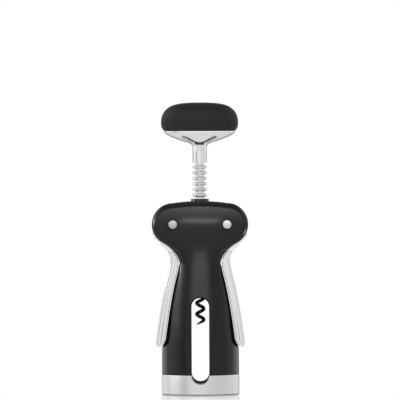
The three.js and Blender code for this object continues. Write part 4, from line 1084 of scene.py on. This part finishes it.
def surface_exit(tree, entry, sheen, grain, height):
    """Outputs of a surface group: a roughness mask, a normal and a shade."""
    span = (entry["Roughness low"], entry["Roughness high"])
    bump = node(tree, "Bump", {"Strength": entry["Depth"], "Height": grain, "Distance": height})
    roughness = ranged(tree, sheen, *NOISE_SPAN, *span, "LINEAR")
    group_exit(tree, {"Roughness": roughness, "Normal": bump["Normal"], "Shade": grain})


def surface_variation(tree):
    """Soft uneven sheen and fine grain."""
    entry = group_entry(tree, {
        "Patch size": PATCH_SIZE, "Grain size": 1800.0, "Depth": 0.1,
        "Roughness low": 0.3, "Roughness high": 0.4,
    })
    place = node(tree, "TexCoord", {})["Object"]
    patches = noise(tree, place, entry["Patch size"], *PATCH_NOISE)
    grain = noise(tree, place, entry["Grain size"], *GRAIN_NOISE)
    surface_exit(tree, entry, patches, grain, GRAIN_HEIGHT)


def fine_brushing(tree):
    """Fine parallel scratches along a chosen stretch."""
    entry = group_entry(tree, {
        "Stretch": (900.0, 900.0, 30.0), "Depth": 0.1, "Roughness low": 0.25, "Roughness high": 0.4,
    })
    place = node(tree, "TexCoord", {})["Object"]
    lines = noise(tree, vector_product(tree, place, entry["Stretch"]), *BRUSHING_NOISE)
    surface_exit(tree, entry, lines, lines, BRUSHING_HEIGHT)


def finished_material(name, color, tint, surface_name, surface_sockets, shader_sockets):
    """A material whose roughness, normal and small change of colour come from a surface group."""
    material = bpy.data.materials.new(name)
    material.use_nodes = True
    tree = material.node_tree
    surface = group(tree, surface_name, surface_sockets)
    dark, light = [(*[min(part * share, 1) for part in color], 1) for share in (1 - tint, 1 + tint)]
    base = node(tree, "Mix", {0: surface["Shade"], 6: dark, 7: light}, data_type="RGBA")[2]
    set_sockets(tree.nodes["Principled BSDF"], {
        "Base Color": base, "Roughness": surface["Roughness"], "Normal": surface["Normal"], **shader_sockets,
    })
    return material


def moulded_material(name, color, low, high, grain_size, grain_depth, specular):
    """Black moulded or painted surface with a fine grain and a slightly uneven sheen."""
    surface = {"Grain size": grain_size, "Depth": grain_depth, "Roughness low": low, "Roughness high": high}
    shader = {"Specular IOR Level": specular}
    return finished_material(name, color, GRAIN_TINT, "surface variation", surface, shader)


def metal_material(name, color, low, high, stretch, depth, edge):
    """Silver metal with fine brushing along a chosen stretch."""
    surface = {"Stretch": stretch, "Depth": depth, "Roughness low": low, "Roughness high": high}
    # An edge tint below 1, as on the levers and the knob base, darkens grazing reflections along the edges
    # as painted shade
    shader = {"Metallic": 1, "Specular Tint": (edge, edge, edge, 1)}
    return finished_material(name, color, BRUSHING_TINT, "fine brushing", surface, shader)


def steel_material(name):
    """Plain steel of the hidden pieces."""
    return metal_material(name, bpy.context.scene.corkscrew_metal.steel_color, *STEEL_FINISH)


def refinish(node_name, material):
    """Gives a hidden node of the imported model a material, and leaves its shape alone."""
    frame["nodes"][node_name].data.materials[0] = material


# Surround and table

def direction_angles(tree):
    """Compass angle from the front and height angle of a direction, in radians."""
    entry = group_entry(tree, {"Direction": (0.0, 0.0, 0.0)})
    parts = node(tree, "SeparateXYZ", {0: entry["Direction"]})
    turn = calc(tree, "ARCTAN2", parts["X"], product(tree, parts["Y"], -1))
    group_exit(tree, {"Turn": turn, "Rise": calc(tree, "ARCSINE", parts["Z"])})


def soft_panel(tree):
    """Soft-edged rectangle of directions, as a mask."""
    entry = group_entry(tree, dict.fromkeys(("Turn", "Rise", *PANEL_SIZES), 0.0))
    masks = []
    for axis in ("turn", "rise"):
        offset = calc(tree, "SUBTRACT", entry[axis.capitalize()], entry[f"Centre {axis}"])
        half = entry[f"Half {axis}"]
        outside = calc(tree, "ADD", half, entry[f"Soft {axis}"])
        masks.append(ranged(tree, calc(tree, "ABSOLUTE", offset), half, outside, 1, 0))
    group_exit(tree, {"Mask": product(tree, *masks)})


def horizon_strips(tree):
    """Upright soft strips of light and shade that stand round the object near the horizon."""
    entry = group_entry(tree, {"Turn": 0.0, "Rise": 0.0, "Surround": 1.0})
    ramp = tree.nodes.new("ShaderNodeValToRGB")
    stops = ramp.color_ramp.elements
    for turn, _ in HORIZON[1:-1]:
        stops.new((turn + HALF_TURN) / (2 * HALF_TURN))
    for stop, (_, level) in zip(stops, HORIZON):
        stop.color = (*[level / HORIZON_PEAK] * 3, 1)
    set_sockets(ramp, {0: ranged(tree, entry["Turn"], -math.pi, math.pi, 0, 1, "LINEAR")})
    level = product(tree, ramp.outputs["Color"], HORIZON_PEAK)
    height = calc(tree, "ABSOLUTE", entry["Rise"])
    fade = ranged(tree, height, HORIZON_RISE, HORIZON_RISE + HORIZON_SOFT, 1, 0)
    group_exit(tree, {"Level": mixed(tree, fade, entry["Surround"], level)})


SHADER_GROUPS = {
    "surface variation": surface_variation,
    "fine brushing": fine_brushing,
    "direction angles": direction_angles,
    "soft panel": soft_panel,
    "horizon strips": horizon_strips,
}


def angles_of(tree, direction):
    """Sockets for the turn and rise of a direction."""
    angles = group(tree, "direction angles", {"Direction": direction})
    return {"Turn": angles["Turn"], "Rise": angles["Rise"]}


def build_world(strength):
    """Pale surround with brighter and dimmer soft panels, and plain white where the camera looks at it."""
    world = bpy.data.worlds.new("studio surround")
    tree = emptied(world)
    angles = angles_of(tree, node(tree, "TexCoord", {})["Generated"])
    behind = calc(tree, "ABSOLUTE", angles["Turn"])
    total = ranged(tree, behind, *BEHIND_TURNS, strength, BEHIND_LEVEL)
    for *degrees, level in PANELS:
        sizes = dict(zip(PANEL_SIZES, map(math.radians, degrees)))
        total = mixed(tree, group(tree, "soft panel", {**angles, **sizes})["Mask"], total, level)
    strips = group(tree, "horizon strips", {**angles, "Surround": total})
    level = mixed(tree, node(tree, "LightPath", {})["Is Camera Ray"], strips["Level"], 1)
    back = node(tree, "Background", {"Color": WHITE, "Strength": level})
    node(tree, "OutputWorld", {"Surface": back[0]})
    bpy.context.scene.world = world


def floor_material(color):
    """White table: plain white to the camera with a weak mirror image, in reflections a glow with the
    horizon strips and a painted contact shade round the foot, pale to everything else.
    """
    material = bpy.data.materials.new("white table")
    tree = emptied(material)
    rays = node(tree, "LightPath", {})
    place = node(tree, "NewGeometry", {})
    parts = node(tree, "SeparateXYZ", {0: place["Position"]})
    flat = vector_product(tree, place["Position"], (1, 1, 0))
    reach = node(tree, "VectorMath", {0: flat}, operation="LENGTH")["Value"]
    aside = calc(tree, "ABSOLUTE", parts["X"])
    facing = node(tree, "LayerWeight", {})["Facing"]
    edge = RING_RADIUS * MM
    share = ranged(tree, reach, MIRROR_REACH * MM / 2, MIRROR_REACH * MM, MIRROR_SHARE, 0)
    for fade in (
        ranged(tree, aside, edge - MIRROR_FADE * MM, edge, 1, 0),
        ranged(tree, parts["Y"], 0, edge / 2, 1, 0),
        ranged(tree, facing, *MIRROR_GRAZING, 0, 1),
    ):
        share = product(tree, share, fade)
    glow = node(tree, "Emission", {"Color": WHITE, "Strength": 1})
    mirror = node(tree, "BsdfGlossy", {"Color": WHITE, "Roughness": MIRROR_ROUGHNESS})
    pale = node(tree, "BsdfDiffuse", {"Color": (*color, 1)})
    direct = calc(tree, "MAXIMUM", rays["Is Camera Ray"], rays["Is Transmission Ray"])
    seen = shader_mix(tree, direct, pale[0], shader_mix(tree, share, glow[0], mirror[0]))
    # Painted contact shade: the table's glow seen in reflections is darkened close round the foot
    contact = ranged(tree, reach, edge, edge + CONTACT_REACH * MM, CONTACT_LEVEL, 1)
    angles = angles_of(tree, vector_product(tree, place["Incoming"], (-1, -1, -1)))
    strips = group(tree, "horizon strips", {**angles, "Surround": TABLE_LEVEL})
    strength = product(tree, contact, strips["Level"])
    reflected = node(tree, "Emission", {"Color": WHITE, "Strength": strength})
    surface = shader_mix(tree, rays["Is Glossy Ray"], seen, reflected[0])
    node(tree, "OutputMaterial", {"Surface": surface})
    return material


# Lamps and camera

def placed(name, data, place, target, roll=0.0):
    """A lamp or camera at a place, aimed at a target, both in metres."""
    made = bpy.data.objects.new(name, data)
    made.location = place
    aim = (target - place).to_track_quat("-Z", "Y")
    made.rotation_euler = (aim @ Quaternion((0, 0, 1), roll)).to_euler()
    bpy.context.scene.collection.objects.link(made)
    return made


def area_lamp(name, place, target, size, power, spread):
    """A soft rectangular lamp that the camera doesn't see."""
    data = bpy.data.lights.new(name, "AREA")
    data.shape = "RECTANGLE"
    data.size, data.size_y = [side * MM for side in size]
    data.energy = power
    data.spread = math.radians(spread)
    placed(name, data, Vector(place) * MM, Vector(target) * MM).visible_camera = False


# Settings

def color_setting(name, description, default):
    return bpy.props.FloatVectorProperty(name=name, description=description, subtype="COLOR", size=3,
                                         min=0, max=1, default=default)


def share_setting(name, description, default):
    return bpy.props.FloatProperty(name=name, description=description, subtype="FACTOR", min=0, max=1,
                                   default=default)


def length_setting(name, description, default, low):
    return bpy.props.FloatProperty(name=name, description=description, default=default, min=low,
                                   unit="LENGTH", subtype="DISTANCE")


class CorkscrewBodySettings(bpy.types.PropertyGroup):
    """Finish of the black body"""
    cover_color: color_setting("Cover colour", "Colour of the two moulded covers", (0.004, 0.004, 0.0045))
    cover_gloss: share_setting("Cover roughness", "Roughness of the covers", 0.2)
    # Matt black casting colour, darkened further as painted shade in the gap between covers and levers; the
    # foil cutter carrier takes it too
    casting_shade_color: color_setting("Casting colour", "Colour of the inner casting", (0.002, 0.002, 0.0022))
    collar_color: color_setting("Collar colour", "Colour of the gloss collar", (0.008, 0.008, 0.009))


class CorkscrewMetalSettings(bpy.types.PropertyGroup):
    """Finish of the bare metal"""
    lever_color: color_setting("Lever colour", "Colour of the satin levers", (0.74, 0.74, 0.75))
    lever_gloss: share_setting("Lever roughness", "Roughness of the levers", 0.12)
    ring_color: color_setting("Ring colour", "Colour of the satin foot ring", (0.65, 0.65, 0.655))
    polish_color: color_setting("Polished colour", "Colour of the knob base, rack and pins",
                                (0.74, 0.74, 0.75))
    steel_color: color_setting("Plain steel colour", "Colour of hidden steel pieces", (0.5, 0.5, 0.51))


class CorkscrewGripSettings(bpy.types.PropertyGroup):
    """Finish of the knob and worm"""
    grip_color: color_setting("Grip colour", "Colour of the soft knob grip", (0.006, 0.006, 0.0065))
    grip_gloss: share_setting("Grip roughness", "Roughness of the soft grip", 0.5)
    worm_color: color_setting("Worm colour", "Colour of the coated worm", (0.008, 0.008, 0.009))


class CorkscrewStageSettings(bpy.types.PropertyGroup):
    """Stage, lights and camera"""
    floor_size: length_setting("Floor size", "Width of the floor", 1.2, 0.3)
    floor_color: color_setting("Floor colour", "Colour of the floor", (0.8, 0.8, 0.8))
    sky_strength: bpy.props.FloatProperty(name="Surround", description="Strength of the white surround",
                                          default=0.8, min=0)
    camera_distance: length_setting("Camera distance", "Distance to the object", 4.6, 1)
    camera_height: length_setting("Camera height", "Height over the floor", 0.19, 0)


# Operators

class PieceOperator:
    """What the piece operators share."""
    bl_options = {"REGISTER", "UNDO"}


class OBJECT_OT_corkscrew_covers(PieceOperator, bpy.types.Operator):
    """Build the front and rear covers of the body"""
    bl_idname = "object.corkscrew_covers"
    bl_label = "Body covers"

    def execute(self, context):
        settings = context.scene.corkscrew_body
        gloss = settings.cover_gloss
        material = moulded_material("satin black moulding", settings.cover_color, gloss,
                                    gloss + COVER_ROUGHNESS_SPAN, *COVER_GRAIN)
        front = shape_cover()
        rear = mirrored(front, "rear cover", y=-1)
        dress(front, "cover_front", material, "housing", ["front_shell"])
        dress(rear, "cover_rear", material, "housing", ["rear_shell"])
        return {"FINISHED"}


class OBJECT_OT_corkscrew_casting(PieceOperator, bpy.types.Operator):
    """Build the inner casting and the collar"""
    bl_idname = "object.corkscrew_casting"
    bl_label = "Inner casting and collar"

    def execute(self, context):
        settings = context.scene.corkscrew_body
        # Matt black casting, darkened as painted shade where it shows between covers and levers
        cast = moulded_material("matt black casting", settings.casting_shade_color, *CASTING_FINISH)
        gloss = moulded_material("gloss black collar", settings.collar_color, *COLLAR_FINISH)
        dress(shape_casting(), "casting", cast, "housing", ["inner_frame"])
        dress(shape_collar(), "collar", gloss, "bushing", ["top_bushing"])
        return {"FINISHED"}


class OBJECT_OT_corkscrew_pins(PieceOperator, bpy.types.Operator):
    """Build the pivot pins and finish their washers"""
    bl_idname = "object.corkscrew_pins"
    bl_label = "Pivot pins"

    def execute(self, context):
        steel = steel_material("plain steel")
        for side, name in ((-1, "left"), (1, "right")):
            # Each pin gets its own copy of the polished colour: the darker left one is painted shade, the
            # lighter right one painted light
            color = [PIN_LIGHT_SHADE_SHARES[name] * part for part in context.scene.corkscrew_metal.polish_color]
            polish = metal_material(f"{name} pin", color, *PIN_FINISH)
            dress(shape_pin(side), f"pin_{name}", polish, "housing", [f"{name}_pivot_pin"])
            for end in ("front", "rear"):
                refinish(f"{name}_{end}_washer", steel)
        return {"FINISHED"}


class OBJECT_OT_corkscrew_levers(PieceOperator, bpy.types.Operator):
    """Build the two geared levers"""
    bl_idname = "object.corkscrew_levers"
    bl_label = "Levers"

    def execute(self, context):
        settings = context.scene.corkscrew_metal
        gloss = settings.lever_gloss
        satin = metal_material("satin silver lever", settings.lever_color, gloss,
                               gloss + LEVER_ROUGHNESS_SPAN, *LEVER_BRUSHING)
        right = shape_lever()
        left = mirrored(right, "left lever", x=-1)
        dress(right, "lever_right", satin, "right_wing", ["right_lever"])
        dress(left, "lever_left", satin, "left_wing", ["left_lever"])
        return {"FINISHED"}


class OBJECT_OT_corkscrew_spindle(PieceOperator, bpy.types.Operator):
    """Build the rack and the worm"""
    bl_idname = "object.corkscrew_spindle"
    bl_label = "Rack and worm"

    def execute(self, context):
        color = [RACK_TONE_SHARE * part for part in context.scene.corkscrew_metal.polish_color]
        polish = metal_material("turned rack steel", color, *RACK_FINISH)
        coated = moulded_material("coated worm", context.scene.corkscrew_grip.worm_color, *WORM_FINISH)
        dress(shape_rack(), "rack", polish, "spindle", ["rack_shaft"])
        dress(shape_worm(), "screw", coated, "spindle", ["worm"])
        refinish("worm_pin", steel_material("cross pin steel"))
        return {"FINISHED"}


class OBJECT_OT_corkscrew_knob(PieceOperator, bpy.types.Operator):
    """Build the knob: polished base and soft grip"""
    bl_idname = "object.corkscrew_knob"
    bl_label = "Knob"

    def execute(self, context):
        settings = context.scene.corkscrew_grip
        color, gloss = settings.grip_color, settings.grip_gloss
        shine = context.scene.corkscrew_metal.polish_color
        polish = metal_material("polished knob base", shine, *FLARE_FINISH)
        soft = moulded_material("soft black grip", color, gloss, gloss + GRIP_ROUGHNESS_SPAN, *GRIP_GRAIN)
        dress(shape_flare(), "knob_flare", polish, "spindle", ["knob_base"])
        dress(shape_grip(), "knob_cushion", soft, "spindle", ["knob_grip"])
        refinish("knob_core", moulded_material("inner knob plastic", color, *CORE_FINISH))
        refinish("knob_nut", steel_material("nut steel"))
        return {"FINISHED"}


class OBJECT_OT_corkscrew_foil_cutter(PieceOperator, bpy.types.Operator):
    """Build the foil cutter that forms the foot"""
    bl_idname = "object.corkscrew_foil_cutter"
    bl_label = "Foil cutter"

    def execute(self, context):
        metal = context.scene.corkscrew_metal
        satin = metal_material("satin silver ring", metal.ring_color, *RING_FINISH)
        color = context.scene.corkscrew_body.casting_shade_color
        inner = moulded_material("foil cutter plastic", color, *CARRIER_FINISH)
        edge = metal_material("cutter steel", metal.polish_color, *DISC_FINISH)
        steel = steel_material("axle steel")
        dress(shape_ring(), "foot_ring", satin, "foil_cutter", ["base_ring"])
        dress(shape_carrier(), "foot_carrier", inner, "foil_cutter", ["cutter_carrier"])
        for number, (_, place) in enumerate(cutter_places(), 1):
            disc = shifted(shape_disc(), *place)
            dress(disc, f"disc_{number}", edge, f"cutter_wheel_{number}", [f"cutter_disc_{number}"])
            axle = shifted(rod("axle", AXLE_RADIUS, AXLE_LOW[2], AXLE_HIGH[2], SMALL_SIDES), *place)
            dress(axle, f"axle_{number}", steel, "foil_cutter", [f"cutter_axle_{number}"])
        return {"FINISHED"}


class OBJECT_OT_corkscrew_stage(PieceOperator, bpy.types.Operator):
    """Build the floor, the lights and the camera"""
    bl_idname = "object.corkscrew_stage"
    bl_label = "Stage"

    def execute(self, context):
        settings = context.scene.corkscrew_stage
        half = settings.floor_size / 2 / MM
        corners = [(-half, -half, 0), (half, -half, 0), (half, half, 0), (-half, half, 0)]
        floor = solid("floor", corners, [(0, 1, 2, 3)])
        floor.data.materials.append(floor_material(settings.floor_color))
        build_world(settings.sky_strength)
        for name, lamp in LAMPS.items():
            area_lamp(name, *lamp)
        data = bpy.data.cameras.new("camera")
        data.lens = CAMERA_LENS
        data.sensor_width = CAMERA_SENSOR
        data.clip_end = CAMERA_RANGE
        place = Vector((0, -settings.camera_distance, settings.camera_height))
        context.scene.camera = placed("camera", data, place, Vector(CAMERA_AIM) * MM, CAMERA_ROLL)
        context.scene.view_settings.view_transform = "Standard"
        return {"FINISHED"}


# Panel and registration

class VIEW3D_PT_corkscrew(bpy.types.Panel):
    """Sidebar panel with the corkscrew's settings and pieces"""
    bl_idname = "VIEW3D_PT_corkscrew"
    bl_label = "Corkscrew"
    bl_space_type = "VIEW_3D"
    bl_region_type = "UI"
    bl_category = "Corkscrew"

    def draw(self, context):
        for name, group in SETTINGS:
            box = self.layout.box()
            for setting in group.__annotations__:
                box.prop(getattr(context.scene, name), setting)
        for piece in PIECES:
            self.layout.operator(piece.bl_idname)


SETTINGS = (
    ("corkscrew_body", CorkscrewBodySettings),
    ("corkscrew_metal", CorkscrewMetalSettings),
    ("corkscrew_grip", CorkscrewGripSettings),
    ("corkscrew_stage", CorkscrewStageSettings),
)
PIECES = (
    OBJECT_OT_corkscrew_covers,
    OBJECT_OT_corkscrew_casting,
    OBJECT_OT_corkscrew_pins,
    OBJECT_OT_corkscrew_levers,
    OBJECT_OT_corkscrew_spindle,
    OBJECT_OT_corkscrew_knob,
    OBJECT_OT_corkscrew_foil_cutter,
    OBJECT_OT_corkscrew_stage,
)


def register():
    for name, group in SETTINGS:
        bpy.utils.register_class(group)
        setattr(bpy.types.Scene, name, bpy.props.PointerProperty(type=group))
    for piece in PIECES:
        bpy.utils.register_class(piece)
    bpy.utils.register_class(VIEW3D_PT_corkscrew)


def unregister():
    bpy.utils.unregister_class(VIEW3D_PT_corkscrew)
    for piece in reversed(PIECES):
        bpy.utils.unregister_class(piece)
    for name, group in reversed(SETTINGS):
        delattr(bpy.types.Scene, name)
        bpy.utils.unregister_class(group)


def main():
    register()
    bpy.ops.object.corkscrew_covers()
    bpy.ops.object.corkscrew_casting()
    bpy.ops.object.corkscrew_pins()
    bpy.ops.object.corkscrew_levers()
    bpy.ops.object.corkscrew_spindle()
    bpy.ops.object.corkscrew_knob()
    bpy.ops.object.corkscrew_foil_cutter()
    bpy.ops.object.corkscrew_stage()


if __name__ == "__main__":
    main()
